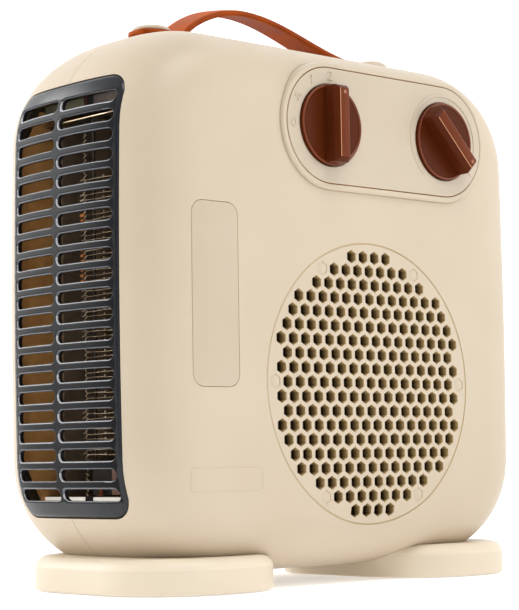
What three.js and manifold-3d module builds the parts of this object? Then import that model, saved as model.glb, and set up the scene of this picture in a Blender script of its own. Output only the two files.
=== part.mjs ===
// Retro fan heater: two deep moulded half shells with a round hexagonal air intake on the large face,
// an air outlet grille wrapped round the narrow side, two turning knobs, a strap handle and two feet.
// Millimetres. +X right, +Y from the control face to the back, +Z up.
// Sizes are set out from the centre of the body. The finished group is moved so that its origin is
// the bottom centre of the whole heater.
import * as THREE from "three";
import { mergeVertices } from "three/addons/utils/BufferGeometryUtils.js";
import Module from "manifold-3d";

// Body form
const HALF_WIDTH = 119.5;
const HALF_HEIGHT = 117;
const HALF_DEPTH = 56;
const CORNER_RADIUS = 49.6;
const SIDE_BOW_RADIUS = 2840;
const EDGE_WIDTH = 36.3;
const EDGE_POWER = 2.83;
const WALL = 2.6;
const GAP = 0.3;
const CORNER_STEPS = 6;
const EDGE_STEPS = 5;

// Air intake: a triangular lattice of hexagonal holes in a round insert
const HEX_PITCH = 7.1;
const HEX_ACROSS_FLATS = 5.25;
const INTAKE_X = 9.6;
const INTAKE_Z = -35.6;
const INTAKE_RADIUS = 61.3;
const HEX_ROWS = [4, 7, 10, 13, 14, 15, 16, 15, 16, 15, 16, 15, 16, 15, 14, 13, 10, 7, 4];
const BLIND_RADIUS = 8 * HEX_PITCH;
const POST_RADIUS = 3.2;

// Air outlet on the narrow side
const OUTLET_HALF_HEIGHT = 91.3;
const OUTLET_HALF_DEPTH = 36;
const OUTLET_CORNER = 9.5;
const OUTLET_PROUD = 0.4;
const OUTLET_THICKNESS = 2.6;
const OUTLET_INNER_X = -90;
const SLOT_COUNT = 21;
const SLOT_PITCH = 8.18;
const SLOT_HEIGHT = 4.9;
const SLOT_OUTER = 32;
const CENTRE_BAR = 2.4;

// Notice plate let into the face beside the intake
const LABEL_LEFT = -91.8;
const LABEL_RIGHT = -67.2;
const LABEL_BOTTOM = -38.3;
const LABEL_TOP = 38;
const LABEL_CORNER = 5.5;
const LABEL_PROUD = 0.2;
const LABEL_THICKNESS = 1.1;
const LABEL_SINK = 1.2;

// Controls
const PANEL_Z = 76.3;
const FUNCTION_X = -13.9;
const THERMOSTAT_X = 58;
const PANEL_RADIUS = 25.3;
const PANEL_FRONT = -HALF_DEPTH - 1.6;
const PANEL_THICKNESS = 3;
const PLINTH_RIM = 3.8;
const KNOB_RADIUS = 17.8;
const KNOB_WELL = 18.6;
const WELL_DEPTH = 1.2;
const KNOB_RISE = 1.5;
const BAR_RISE = 8;
const BAR_HALF_WIDTH = 4.4;
const BAR_HALF_LENGTH = 17;
const POINTER_RADIUS = 0.9;
const POINTER_FROM_END = 3.6;
const SPINDLE_RADIUS = 3;
const THERMOSTAT_POINTS_AT = 135;

// Fan and motor, on the intake's axis
const IMPELLER_RADIUS = 50;
const IMPELLER_FRONT = -39;
const IMPELLER_BACK = -8;
const BLADE_COUNT = 18;
const RING_FRONT = -46;
const SCROLL_FRONT = -43.4;
const SCROLL_BACK = 9;
const SCROLL_WALL = 1.8;
const TONGUE_RADIUS = 54;
const TONGUE_ANGLE = 150;
const SCROLL_SWEEP = 240;
const SCROLL_GROWTH = 12;
const DUCT_HALF_HEIGHT = 88.5;
const DUCT_END_X = -98;
const MOTOR_PLATE_Y = 9.3;
const SHAFT_RADIUS = 2.5;
const SHAFT_END = 45;
const STACK_FRONT = 21;
const STACK_BACK = 37;
const ROTOR_RADIUS = 12.6;

// Heating element behind the outlet
const CARD_FRONT_X = -99;
const CARD_BACK_X = -79;
const CARD_TOP_Z = 78.4;
const CARD_BOTTOM_Z = -82.4;
const SIDE_CARD_Y = 35.2;
const MICA = 0.8;
const WIRE_PITCH = SLOT_PITCH / 2;
const WIRE_ROWS = 36;
const WIRE_WIDTH = 0.9;
const WIRE_FRONT_Y = -33;
const WIRE_REAR_Y = 1.6;

// Feet and handle
const GROUND_Z = -122.8;
const FOOT_X = 73;
const FOOT_Y = -4.8;
const FOOT_HALF_WIDTH = 41.5;
const FOOT_HALF_LENGTH = 54.2;
const FOOT_CORNER = 38.4;
const FOOT_TOP_Z = -107.8;
const FOOT_ROUNDING = 5.5;
const PAD_RISE = 0.6;
const PAD_SINK = 1.1;
const PAD_RADIUS = 7;
const STRAP_HALF_WIDTH = 9.5;
const STRAP_THICKNESS = 2.6;
const LEFT_CAP_X = -67;
const RIGHT_CAP_X = 69.6;
const CAP_RADIUS = 8.6;
const CAP_HEIGHT = 3.2;
const STRAP_OVERHANG = 10.4;
const STRAP_PEAK_X = -20;
const STRAP_PEAK_RISE = 18.2;

// Fixings and rear openings
const SHELL_SCREWS = [[-66, 104], [92, 86], [92, -86], [-66, -104]];
const SCREW_HOLE_RADIUS = 1.9;
const FRONT_BOSS_RADIUS = 4.2;
const REAR_BOSS_RADIUS = 5.6;
const SCREW_POCKET_RADIUS = 4;
const SCREW_SEAT_Y = 20;
const SCREW_TIP_Y = -13;
const SCREW_HEAD_HEIGHT = 2.3;
const BOSS_SINK = 4;
const BOSS_SEAM_GAP = 0.5;
const STRAP_SCREW_HOLE = 2.3;
const FOOT_SCREW_OFFSET = 17;
const FOOT_SCREW_Y = 26;
const FOOT_SCREW_HOLE = 2.1;
const PAD_Y = 34;
const CORD_INLET = [72, -66];
const CORD_INLET_HOLE = 6.3;
const VENT_ROWS = 7;
const VENT_PITCH = 9;
const VENT_HALF_HEIGHT = 2;
const VENT_FIELD_RADIUS = 36;
const VENT_RIB = 3;

// Cutters for the faces run between these planes, clear of the wall on both sides
const FACE_OUTSIDE = -70;
const FACE_INSIDE = -40;
const BACK_INSIDE = 40;
const BACK_OUTSIDE = 70;
const OUTSIDE_X = -HALF_WIDTH - 10;

const CREAM = { color: 0xe8d8be, roughness: 0.5, metalness: 0 };
const SLATE = { color: 0x3c4046, roughness: 0.45, metalness: 0 };
const BROWN = { color: 0x64301c, roughness: 0.4, metalness: 0 };
const TAN = { color: 0xa85422, roughness: 0.6, metalness: 0 };
const RUBBER = { color: 0x2a2a2a, roughness: 0.9, metalness: 0 };
const STEEL = { color: 0xb4b6b8, roughness: 0.35, metalness: 1 };
const BRASS = { color: 0xc9a050, roughness: 0.35, metalness: 1 };
const COPPER = { color: 0xb8683a, roughness: 0.4, metalness: 1 };
const MICA_BROWN = { color: 0x9a6230, roughness: 0.55, metalness: 0 };
const BLACK_PLASTIC = { color: 0x1d1d1f, roughness: 0.5, metalness: 0 };
const WHITE_CERAMIC = { color: 0xe6e2d8, roughness: 0.5, metalness: 0 };

const wasm = await Module();
wasm.setup();

const heater = new THREE.Group();

// A closed geometry as a solid that can be cut and joined.
function solid(geometry) {
  const bare = geometry.clone();
  bare.deleteAttribute("normal");
  bare.deleteAttribute("uv");
  const merged = mergeVertices(bare, 1e-4);
  return new wasm.Manifold(
    new wasm.Mesh({
      numProp: 3,
      vertProperties: merged.attributes.position.array,
      triVerts: new Uint32Array(merged.index.array),
    }),
  );
}

function geometryOf(body) {
  const mesh = body.getMesh();
  const geometry = new THREE.BufferGeometry();
  geometry.setAttribute("position", new THREE.BufferAttribute(mesh.vertProperties, 3));
  geometry.setIndex(new THREE.BufferAttribute(mesh.triVerts, 1));
  return geometry;
}

function add(name, shape, finish) {
  const geometry = shape.isBufferGeometry ? shape : geometryOf(shape);
  const mesh = new THREE.Mesh(geometry, new THREE.MeshStandardMaterial(finish));
  mesh.name = name;
  heater.add(mesh);
  return mesh;
}

// Extrusions: a 2-D shape drawn in the plane across the named axis, from one coordinate to another.
function alongX(shape, from, to, curveSegments = 6) {
  const geometry = new THREE.ExtrudeGeometry(shape, { depth: to - from, bevelEnabled: false, curveSegments });
  const turn = new THREE.Matrix4().makeBasis(
    new THREE.Vector3(0, 1, 0),
    new THREE.Vector3(0, 0, 1),
    new THREE.Vector3(1, 0, 0),
  );
  return geometry.applyMatrix4(turn).translate(from, 0, 0);
}

function alongY(shape, from, to, curveSegments = 6) {
  const geometry = new THREE.ExtrudeGeometry(shape, { depth: to - from, bevelEnabled: false, curveSegments });
  return geometry.rotateX(Math.PI / 2).translate(0, to, 0);
}

function alongZ(shape, from, to, curveSegments = 6) {
  const geometry = new THREE.ExtrudeGeometry(shape, { depth: to - from, bevelEnabled: false, curveSegments });
  return geometry.translate(0, 0, from);
}

function disc(x, y, radius) {
  const shape = new THREE.Shape();
  shape.absarc(x, y, radius, 0, 2 * Math.PI, false);
  return shape;
}

function roundedRectangle(x0, y0, x1, y1, radius) {
  const shape = new THREE.Shape();
  shape.absarc(x1 - radius, y0 + radius, radius, -Math.PI / 2, 0, false);
  shape.absarc(x1 - radius, y1 - radius, radius, 0, Math.PI / 2, false);
  shape.absarc(x0 + radius, y1 - radius, radius, Math.PI / 2, Math.PI, false);
  shape.absarc(x0 + radius, y0 + radius, radius, Math.PI, 1.5 * Math.PI, false);
  return shape;
}

function box(x0, y0, z0, x1, y1, z1) {
  const geometry = new THREE.BoxGeometry(x1 - x0, y1 - y0, z1 - z0);
  return geometry.translate((x0 + x1) / 2, (y0 + y1) / 2, (z0 + z1) / 2);
}

// A turned piece about +Z: the profile is [radius, height] pairs from the axis, up the outside, to the axis.
function turned(profile, sides) {
  const points = profile.map(([radius, height]) => new THREE.Vector2(radius, height));
  return new THREE.LatheGeometry(points, sides).rotateX(Math.PI / 2);
}

// A turned piece whose axis points from the front to the back, or straight out of the control face.
function turnedAlongY(profile, sides, x, z) {
  return turned(profile, sides).rotateX(-Math.PI / 2).translate(x, 0, z);
}

// A closed skin through rings of equal point counts, capped at both ends.
function closedLoft(rings) {
  const count = rings[0].length;
  const positions = rings.flat(2);
  const index = [];
  for (let ring = 0; ring + 1 < rings.length; ring++) {
    for (let i = 0; i < count; i++) {
      const a = ring * count + i;
      const b = ring * count + ((i + 1) % count);
      index.push(a, b, a + count, b, b + count, a + count);
    }
  }
  const last = (rings.length - 1) * count;
  for (let i = 1; i + 1 < count; i++) {
    index.push(0, i + 1, i);
    index.push(last, last + i, last + i + 1);
  }
  const geometry = new THREE.BufferGeometry();
  geometry.setAttribute("position", new THREE.Float32BufferAttribute(positions, 3));
  geometry.setIndex(index);
  if (solid(geometry).volume() < 0) {
    for (let i = 0; i < index.length; i += 3) {
      [index[i + 1], index[i + 2]] = [index[i + 2], index[i + 1]];
    }
    geometry.setIndex(index);
  }
  return geometry;
}

// Body outline at a given inset: nearly flat sides on a large radius, flat top and bottom, arc corners.
const CORNER_Z = HALF_HEIGHT - CORNER_RADIUS;
const SIDE_ARC_X = HALF_WIDTH - SIDE_BOW_RADIUS;
const CORNER_X = SIDE_ARC_X + Math.sqrt((SIDE_BOW_RADIUS - CORNER_RADIUS) ** 2 - CORNER_Z ** 2);
const SIDE_ANGLE = Math.atan2(CORNER_Z, CORNER_X - SIDE_ARC_X);

function outline(inset, y) {
  const quadrant = [[SIDE_ARC_X + SIDE_BOW_RADIUS - inset, 0]];
  for (let step = 0; step <= CORNER_STEPS; step++) {
    const angle = SIDE_ANGLE + ((Math.PI / 2 - SIDE_ANGLE) * step) / CORNER_STEPS;
    const radius = CORNER_RADIUS - inset;
    quadrant.push([CORNER_X + radius * Math.cos(angle), CORNER_Z + radius * Math.sin(angle)]);
  }
  const upperRight = quadrant;
  const upperLeft = quadrant.slice(1).reverse().map(([x, z]) => [-x, z]);
  const lowerLeft = quadrant.map(([x, z]) => [-x, -z]);
  const lowerRight = quadrant.slice(1).reverse().map(([x, z]) => [x, -z]);
  return [...upperRight, ...upperLeft, ...lowerLeft, ...lowerRight].map(([x, z]) => [x, y, z]);
}

// How far the outline has drawn in at a depth, as a share of the half depth.
function edgeInset(share) {
  return EDGE_WIDTH * (1 - (1 - Math.abs(share) ** EDGE_POWER) ** (1 / EDGE_POWER));
}

// Where the rings of the skin stand between the flat face, 1, and the seam, 0: closer towards the face.
const SKIN_SHARES = Array.from({ length: EDGE_STEPS + 1 }, (_, i) =>
  Math.cos((i * Math.PI) / 2 / EDGE_STEPS),
);
const OUTLET_SHARES = [1, 0.9, 0.67, 0.34, 0];

// Rings of the body's skin, moved outwards by an offset, from one flat face to the seam.
function skinRings(offset, side, shares) {
  return shares.map((share) => outline(edgeInset(share) - offset, side * share * (HALF_DEPTH + offset)));
}

function wholeBody(offset, shares = SKIN_SHARES) {
  const front = skinRings(offset, -1, shares);
  const back = skinRings(offset, 1, shares).reverse();
  return solid(closedLoft([...front, ...back.slice(1)]));
}

function halfShell(side) {
  const rings = [...skinRings(0, side, SKIN_SHARES), ...skinRings(-WALL, side, SKIN_SHARES).reverse()];
  for (const seam of [EDGE_STEPS, EDGE_STEPS + 1]) {
    rings[seam] = rings[seam].map(([x, , z]) => [x, (side * GAP) / 2, z]);
  }
  return solid(closedLoft(rings));
}

function capsule(grow) {
  const shape = new THREE.Shape();
  shape.absarc(THERMOSTAT_X, PANEL_Z, PANEL_RADIUS + grow, -Math.PI / 2, Math.PI / 2, false);
  shape.absarc(FUNCTION_X, PANEL_Z, PANEL_RADIUS + grow, Math.PI / 2, 1.5 * Math.PI, false);
  return shape;
}

function union(parts) {
  return parts.map((part) => (part.isBufferGeometry ? solid(part) : part)).reduce((a, b) => a.add(b));
}

function cut(body, tools) {
  const solids = tools.map((tool) => (tool.isBufferGeometry ? solid(tool) : tool));
  return solids.reduce((a, b) => a.subtract(b), body);
}

// Places that several pieces share
const LABEL = roundedRectangle(LABEL_LEFT, LABEL_BOTTOM, LABEL_RIGHT, LABEL_TOP, LABEL_CORNER);
const LABEL_POCKET = roundedRectangle(
  LABEL_LEFT - GAP, LABEL_BOTTOM - GAP, LABEL_RIGHT + GAP, LABEL_TOP + GAP, LABEL_CORNER + GAP,
);
const OUTLET_OUTLINE = roundedRectangle(
  -OUTLET_HALF_DEPTH, -OUTLET_HALF_HEIGHT, OUTLET_HALF_DEPTH, OUTLET_HALF_HEIGHT, OUTLET_CORNER,
);
const OUTLET_OPENING = roundedRectangle(
  -OUTLET_HALF_DEPTH - GAP, -OUTLET_HALF_HEIGHT - GAP, OUTLET_HALF_DEPTH + GAP, OUTLET_HALF_HEIGHT + GAP,
  OUTLET_CORNER + GAP,
);
const BLIND_ANGLES = [0, 120, 240].map((degrees) => (degrees * Math.PI) / 180);
const POSTS = BLIND_ANGLES.map((angle) => [
  INTAKE_X + BLIND_RADIUS * Math.cos(angle), INTAKE_Z + BLIND_RADIUS * Math.sin(angle),
]);

// ---- Casing ----

function addShells(skin) {
  const front = halfShell(-1);
  const plinth = solid(alongY(capsule(PLINTH_RIM), PANEL_FRONT + 0.1, -44, 7)).subtract(wholeBody(-WALL / 2));
  const bosses = SHELL_SCREWS.map(([x, z]) =>
    alongY(disc(x, z, FRONT_BOSS_RADIUS), -HALF_DEPTH + BOSS_SINK, -BOSS_SEAM_GAP, 5),
  );
  const bossHoles = SHELL_SCREWS.map(([x, z]) =>
    alongY(disc(x, z, SCREW_HOLE_RADIUS), SCREW_TIP_Y - 1, 0, 5),
  );
  const body = union([front, plinth, ...bosses.map((boss) => solid(boss).intersect(skin))]);
  add(
    "front_shell",
    cut(body, [
      alongY(disc(INTAKE_X, INTAKE_Z, INTAKE_RADIUS + GAP), FACE_OUTSIDE, FACE_INSIDE, 16),
      alongY(capsule(GAP), FACE_OUTSIDE, FACE_INSIDE, 7),
      alongX(OUTLET_OPENING, OUTSIDE_X, OUTLET_INNER_X),
      solid(alongY(LABEL_POCKET, FACE_OUTSIDE, FACE_INSIDE, 4)).subtract(wholeBody(-LABEL_SINK)),
      ...bossHoles,
      ...strapHoles(),
      ...footHoles(),
    ]),
    CREAM,
  );

  const rearBosses = SHELL_SCREWS.map(([x, z]) =>
    alongY(disc(x, z, REAR_BOSS_RADIUS), BOSS_SEAM_GAP, HALF_DEPTH - BOSS_SINK, 5),
  );
  const pockets = SHELL_SCREWS.map(([x, z]) =>
    alongY(disc(x, z, SCREW_POCKET_RADIUS), SCREW_SEAT_Y, BACK_OUTSIDE, 5),
  );
  const shankHoles = SHELL_SCREWS.map(([x, z]) =>
    alongY(disc(x, z, SCREW_HOLE_RADIUS), 0, SCREW_SEAT_Y + 1, 5),
  );
  const rear = union([halfShell(1), ...rearBosses.map((boss) => solid(boss).intersect(skin))]);
  add(
    "rear_shell",
    cut(rear, [
      alongX(OUTLET_OPENING, OUTSIDE_X, OUTLET_INNER_X),
      ...pockets,
      ...shankHoles,
      ...rearVents(),
      alongY(disc(...CORD_INLET, CORD_INLET_HOLE), BACK_INSIDE, BACK_OUTSIDE, 8),
      ...strapHoles(),
      ...footHoles(),
    ]),
    CREAM,
  );
}

// Cooling slots over the motor, in a round field on the back.
function rearVents() {
  const slots = [];
  for (let row = 0; row < VENT_ROWS; row++) {
    const height = (row - (VENT_ROWS - 1) / 2) * VENT_PITCH;
    const reach = Math.sqrt(VENT_FIELD_RADIUS ** 2 - height ** 2);
    const low = INTAKE_Z + height - VENT_HALF_HEIGHT;
    const high = INTAKE_Z + height + VENT_HALF_HEIGHT;
    for (const [from, to] of [[-reach, -VENT_RIB / 2], [VENT_RIB / 2, reach]]) {
      const slot = roundedRectangle(INTAKE_X + from, low, INTAKE_X + to, high, VENT_HALF_HEIGHT - 0.1);
      slots.push(alongY(slot, BACK_INSIDE, BACK_OUTSIDE, 1));
    }
  }
  return slots;
}

function strapHoles() {
  return [LEFT_CAP_X, RIGHT_CAP_X].map((x) =>
    alongZ(disc(x, 0, STRAP_SCREW_HOLE), HALF_HEIGHT - 20, HALF_HEIGHT + 10, 5),
  );
}

function footScrewPlaces(side) {
  return [-FOOT_SCREW_Y, FOOT_SCREW_Y].map((y) => [side * (FOOT_X - FOOT_SCREW_OFFSET), FOOT_Y + y]);
}

function footHoles() {
  return [-1, 1].flatMap(footScrewPlaces).map(([x, y]) =>
    alongZ(disc(x, y, FOOT_SCREW_HOLE), -HALF_HEIGHT - 10, -HALF_HEIGHT + 17, 5),
  );
}

function addShellScrews() {
  const names = ["upper_left", "upper_right", "lower_right", "lower_left"];
  const seat = SCREW_SEAT_Y + GAP;
  const top = seat + SCREW_HEAD_HEIGHT;
  const shank = SCREW_HOLE_RADIUS - 0.4;
  const head = SCREW_POCKET_RADIUS - 0.6;
  SHELL_SCREWS.forEach(([x, z], i) => {
    const profile = [
      [0, SCREW_TIP_Y], [shank, SCREW_TIP_Y], [shank, seat], [head, seat], [head, top], [0, top],
    ];
    add("shell_screw_" + names[i], turnedAlongY(profile, 9, x, z), STEEL);
  });
}

// Round insert with the hexagonal lattice; three posts behind blind cells carry the fan's inlet ring.
function addIntakeGrille(skin) {
  const disk = skin.subtract(wholeBody(-WALL)).intersect(
    solid(alongY(disc(INTAKE_X, INTAKE_Z, INTAKE_RADIUS), FACE_OUTSIDE, FACE_INSIDE, 16)),
  );
  const posts = POSTS.map(([x, z]) =>
    solid(alongY(disc(x, z, POST_RADIUS), -HALF_DEPTH + 1.5, RING_FRONT - GAP, 4)).intersect(skin),
  );
  const holes = [];
  const radius = HEX_ACROSS_FLATS / Math.sqrt(3);
  HEX_ROWS.forEach((count, row) => {
    const z = INTAKE_Z + ((HEX_ROWS.length - 1) / 2 - row) * HEX_PITCH * Math.sin(Math.PI / 3);
    for (let i = 0; i < count; i++) {
      const x = INTAKE_X + (i - (count - 1) / 2) * HEX_PITCH;
      const hexagon = new THREE.Shape(
        [0, 1, 2, 3, 4, 5].map((corner) => {
          const angle = (corner * Math.PI) / 3 + Math.PI / 6;
          return new THREE.Vector2(x + radius * Math.cos(angle), z + radius * Math.sin(angle));
        }),
      );
      holes.push(alongY(hexagon, FACE_OUTSIDE, -50));
    }
  });
  add("intake_grille", cut(union([disk, ...posts]), holes), CREAM);
}

function addOutletGrille() {
  const plate = wholeBody(OUTLET_PROUD, OUTLET_SHARES)
    .subtract(wholeBody(OUTLET_PROUD - OUTLET_THICKNESS, OUTLET_SHARES))
    .intersect(solid(alongX(OUTLET_OUTLINE, OUTSIDE_X, OUTLET_INNER_X)));
  const slots = [];
  for (let row = 0; row < SLOT_COUNT; row++) {
    const z = (row - (SLOT_COUNT - 1) / 2) * SLOT_PITCH;
    for (const side of [-1, 1]) {
      const y0 = Math.min((side * CENTRE_BAR) / 2, side * SLOT_OUTER);
      const y1 = Math.max((side * CENTRE_BAR) / 2, side * SLOT_OUTER);
      slots.push(box(OUTSIDE_X, y0, z - SLOT_HEIGHT / 2, OUTLET_INNER_X, y1, z + SLOT_HEIGHT / 2));
    }
  }
  add("outlet_grille", cut(plate, slots), SLATE);
}

function addPlates() {
  const labelPrism = solid(alongY(LABEL, FACE_OUTSIDE, FACE_INSIDE, 4));
  const labelSheet = wholeBody(LABEL_PROUD).subtract(wholeBody(LABEL_PROUD - LABEL_THICKNESS));
  add("label_plate", labelSheet.intersect(labelPrism), CREAM);
  const back = PANEL_FRONT + PANEL_THICKNESS;
  const face = alongY(capsule(0), PANEL_FRONT, back, 7);
  const wells = [FUNCTION_X, THERMOSTAT_X].map((x) =>
    alongY(disc(x, PANEL_Z, KNOB_WELL), FACE_OUTSIDE, PANEL_FRONT + WELL_DEPTH, 10),
  );
  const holes = [FUNCTION_X, THERMOSTAT_X].map((x) =>
    alongY(disc(x, PANEL_Z, SPINDLE_RADIUS + 0.4), FACE_OUTSIDE, FACE_INSIDE, 5),
  );
  add("control_panel", cut(solid(face), [...wells, ...holes]), CREAM);
}

// ---- Feet ----

function footOutline(inset) {
  return roundedRectangle(
    -FOOT_HALF_WIDTH + inset, -FOOT_HALF_LENGTH + inset, FOOT_HALF_WIDTH - inset, FOOT_HALF_LENGTH - inset,
    FOOT_CORNER - inset,
  );
}

function footRing(inset, x, z) {
  return footOutline(inset).extractPoints(3).shape.slice(0, -1).map((point) => [x + point.x, FOOT_Y + point.y, z]);
}

function addFeet() {
  const clearance = wholeBody(GAP);
  for (const [side, word] of [[-1, "left"], [1, "right"]]) {
    const x = side * FOOT_X;
    const bottom = GROUND_Z + PAD_RISE;
    const rings = [footRing(1, x, bottom), footRing(0, x, bottom + 1)];
    for (let step = 0; step <= 3; step++) {
      const angle = (step * Math.PI) / 6;
      const drop = FOOT_ROUNDING * (1 - Math.sin(angle));
      rings.push(footRing(FOOT_ROUNDING * (1 - Math.cos(angle)), x, FOOT_TOP_Z - drop));
    }
    const padPockets = [-PAD_Y, PAD_Y].map((y) =>
      alongZ(disc(x, FOOT_Y + y, PAD_RADIUS + 0.4), bottom - 1, bottom + PAD_SINK + GAP, 6),
    );
    const screwHoles = footScrewPlaces(side).flatMap(([sx, sy]) => [
      alongZ(disc(sx, sy, FOOT_SCREW_HOLE), bottom - 1, -110, 5),
      alongZ(disc(sx, sy, 4.2), bottom - 1, bottom + 2.2, 5),
    ]);
    add("foot_" + word, cut(solid(closedLoft(rings)), [clearance, ...padPockets, ...screwHoles]), CREAM);
    [["front", -1], ["rear", 1]].forEach(([place, direction], i) => {
      const padTop = PAD_RISE + PAD_SINK;
      const padProfile = [
        [0, 0], [PAD_RADIUS - 0.8, 0], [PAD_RADIUS, 0.7], [PAD_RADIUS, padTop], [0, padTop],
      ];
      const pad = turned(padProfile, 12);
      add(`foot_pad_${word}_${place}`, pad.translate(x, FOOT_Y + direction * PAD_Y, GROUND_Z), RUBBER);
      const [sx, sy] = footScrewPlaces(side)[i];
      const screw = turned([[0, 0], [3.6, 0], [3.6, 1.5], [1.6, 1.5], [1.6, 13], [0, 13]], 9);
      add(`foot_screw_${word}_${place}`, screw.translate(sx, sy, bottom + 0.4), STEEL);
    });
  }
}

// ---- Handle ----

// Height of the strap's underside above the flat top: it lies under the caps and arches between them.
function strapHeight(x) {
  const from = x < STRAP_PEAK_X ? LEFT_CAP_X + CAP_RADIUS + 3 : RIGHT_CAP_X - CAP_RADIUS - 3;
  const share = Math.min(1, Math.abs(x - STRAP_PEAK_X) / Math.abs(from - STRAP_PEAK_X));
  const leftFall = Math.cos((share * Math.PI) / 2) ** 1.2;
  const rightFall = 0.5 + 0.5 * Math.cos(share * Math.PI);
  const fall = x < STRAP_PEAK_X ? leftFall : rightFall;
  return GAP + (STRAP_PEAK_RISE - STRAP_THICKNESS) * fall;
}

function addHandle() {
  const start = LEFT_CAP_X - STRAP_OVERHANG;
  const end = RIGHT_CAP_X + STRAP_OVERHANG;
  const steps = 26;
  const lower = [];
  const upper = [];
  for (let step = 0; step <= steps; step++) {
    const x = start + ((end - start) * step) / steps;
    lower.push(new THREE.Vector2(x, HALF_HEIGHT + strapHeight(x)));
    upper.unshift(new THREE.Vector2(x, HALF_HEIGHT + strapHeight(x) + STRAP_THICKNESS));
  }
  const strip = alongY(new THREE.Shape([...lower, ...upper]), -STRAP_HALF_WIDTH, STRAP_HALF_WIDTH);
  const plan = roundedRectangle(start, -STRAP_HALF_WIDTH, end, STRAP_HALF_WIDTH, STRAP_HALF_WIDTH - 0.1);
  const roundEnds = solid(alongZ(plan, HALF_HEIGHT - 10, HALF_HEIGHT + 40, 7));
  add("strap", cut(solid(strip).intersect(roundEnds), strapHoles()), TAN);
  for (const [x, word] of [[LEFT_CAP_X, "left"], [RIGHT_CAP_X, "right"]]) {
    const base = HALF_HEIGHT + GAP + STRAP_THICKNESS + GAP;
    const dome = turned(
      [
        [0, 0], [CAP_RADIUS, 0], [CAP_RADIUS, 0.9],
        [CAP_RADIUS - 1, CAP_HEIGHT - 1.1], [CAP_RADIUS - 3.4, CAP_HEIGHT - 0.3], [0, CAP_HEIGHT],
      ],
      18,
    );
    const cap = cut(solid(dome.translate(x, 0, base)), [alongZ(disc(x, 0, 2), base - 1, base + 2, 5)]);
    add("strap_cap_" + word, cap, CREAM);
    const inner = HALF_HEIGHT - WALL - 1;
    const tip = base + 1.7 - inner;
    const profile = [[0, -2.2], [4, -2.2], [4, 0], [1.7, 0], [1.7, tip], [0, tip]];
    add("strap_screw_" + word, turned(profile, 9).translate(x, 0, inner), STEEL);
  }
}

// ---- Controls ----

// A knob: a flat disc with a narrow raised rim and a bevelled grip bar across it, pointing up at 0 degrees.
function knob(x, degrees) {
  const discBack = PANEL_FRONT + 1;
  const discFront = PANEL_FRONT - KNOB_RISE;
  const barFront = discFront - BAR_RISE;
  const pointerAt = BAR_HALF_LENGTH - POINTER_FROM_END;
  const rim = 0.8;
  const face = turnedAlongY(
    [
      [0, discFront], [KNOB_RADIUS - rim, discFront], [KNOB_RADIUS, discFront + rim],
      [KNOB_RADIUS, discBack], [0, discBack],
    ],
    24, 0, 0,
  );
  const bar = (inset, y) => [
    [-BAR_HALF_WIDTH + inset, y, -BAR_HALF_LENGTH + inset],
    [BAR_HALF_WIDTH - inset, y, -BAR_HALF_LENGTH + inset],
    [BAR_HALF_WIDTH - inset, y, BAR_HALF_LENGTH - inset],
    [-BAR_HALF_WIDTH + inset, y, BAR_HALF_LENGTH - inset],
  ];
  const grip = closedLoft([bar(0, discFront + 0.5), bar(0.4, barFront + 1.4), bar(1.5, barFront)]);
  const made = cut(union([face, grip]), [
    alongY(disc(0, 0, SPINDLE_RADIUS + GAP), barFront + 4, discBack + 1, 6),
    alongY(disc(0, pointerAt, POINTER_RADIUS + GAP), barFront - 1, barFront + 0.9, 4),
  ]);
  const tip = barFront - 0.1;
  const sunk = barFront + 0.6;
  const pointerProfile = [[0, tip], [POINTER_RADIUS, tip], [POINTER_RADIUS, sunk], [0, sunk]];
  const pointer = turnedAlongY(pointerProfile, 10, 0, pointerAt);
  const turn = (geometry) => geometry.rotateY((degrees * Math.PI) / 180).translate(x, 0, PANEL_Z);
  return { body: turn(geometryOf(made)), pointer: turn(pointer), spindleFront: barFront + 4.4 };
}

function addControls() {
  const functionKnob = knob(FUNCTION_X, 0);
  const thermostatKnob = knob(THERMOSTAT_X, THERMOSTAT_POINTS_AT);
  add("function_knob", functionKnob.body, BROWN);
  add("function_pointer", functionKnob.pointer, STEEL);
  add("thermostat_knob", thermostatKnob.body, BROWN);
  add("thermostat_pointer", thermostatKnob.pointer, STEEL);
  for (const [name, x] of [["function_spindle", FUNCTION_X], ["thermostat_spindle", THERMOSTAT_X]]) {
    const front = functionKnob.spindleFront;
    const profile = [[0, front], [SPINDLE_RADIUS, front], [SPINDLE_RADIUS, -48], [0, -48]];
    add(name, turnedAlongY(profile, 16, x, PANEL_Z), STEEL);
  }
  const switchOutline = roundedRectangle(FUNCTION_X - 16, PANEL_Z - 16, FUNCTION_X + 16, PANEL_Z + 16, 4);
  const switchBody = solid(alongY(switchOutline, -54.2, -28, 3));
  const spindleRoom = (x) => alongY(disc(x, PANEL_Z, SPINDLE_RADIUS + 0.4), -60, -47.6, 6);
  add("rotary_switch", cut(switchBody, [spindleRoom(FUNCTION_X)]), BLACK_PLASTIC);
  const thermostat = solid(alongY(disc(THERMOSTAT_X, PANEL_Z, 12), -54.2, -40, 6));
  add("thermostat", cut(thermostat, [spindleRoom(THERMOSTAT_X)]), WHITE_CERAMIC);
  const blade = box(THERMOSTAT_X - 5, -38.9, PANEL_Z - 42, THERMOSTAT_X + 5, -38, PANEL_Z + 8);
  add("thermostat_blade", blade, BRASS);
}

// ---- Fan ----

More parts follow.
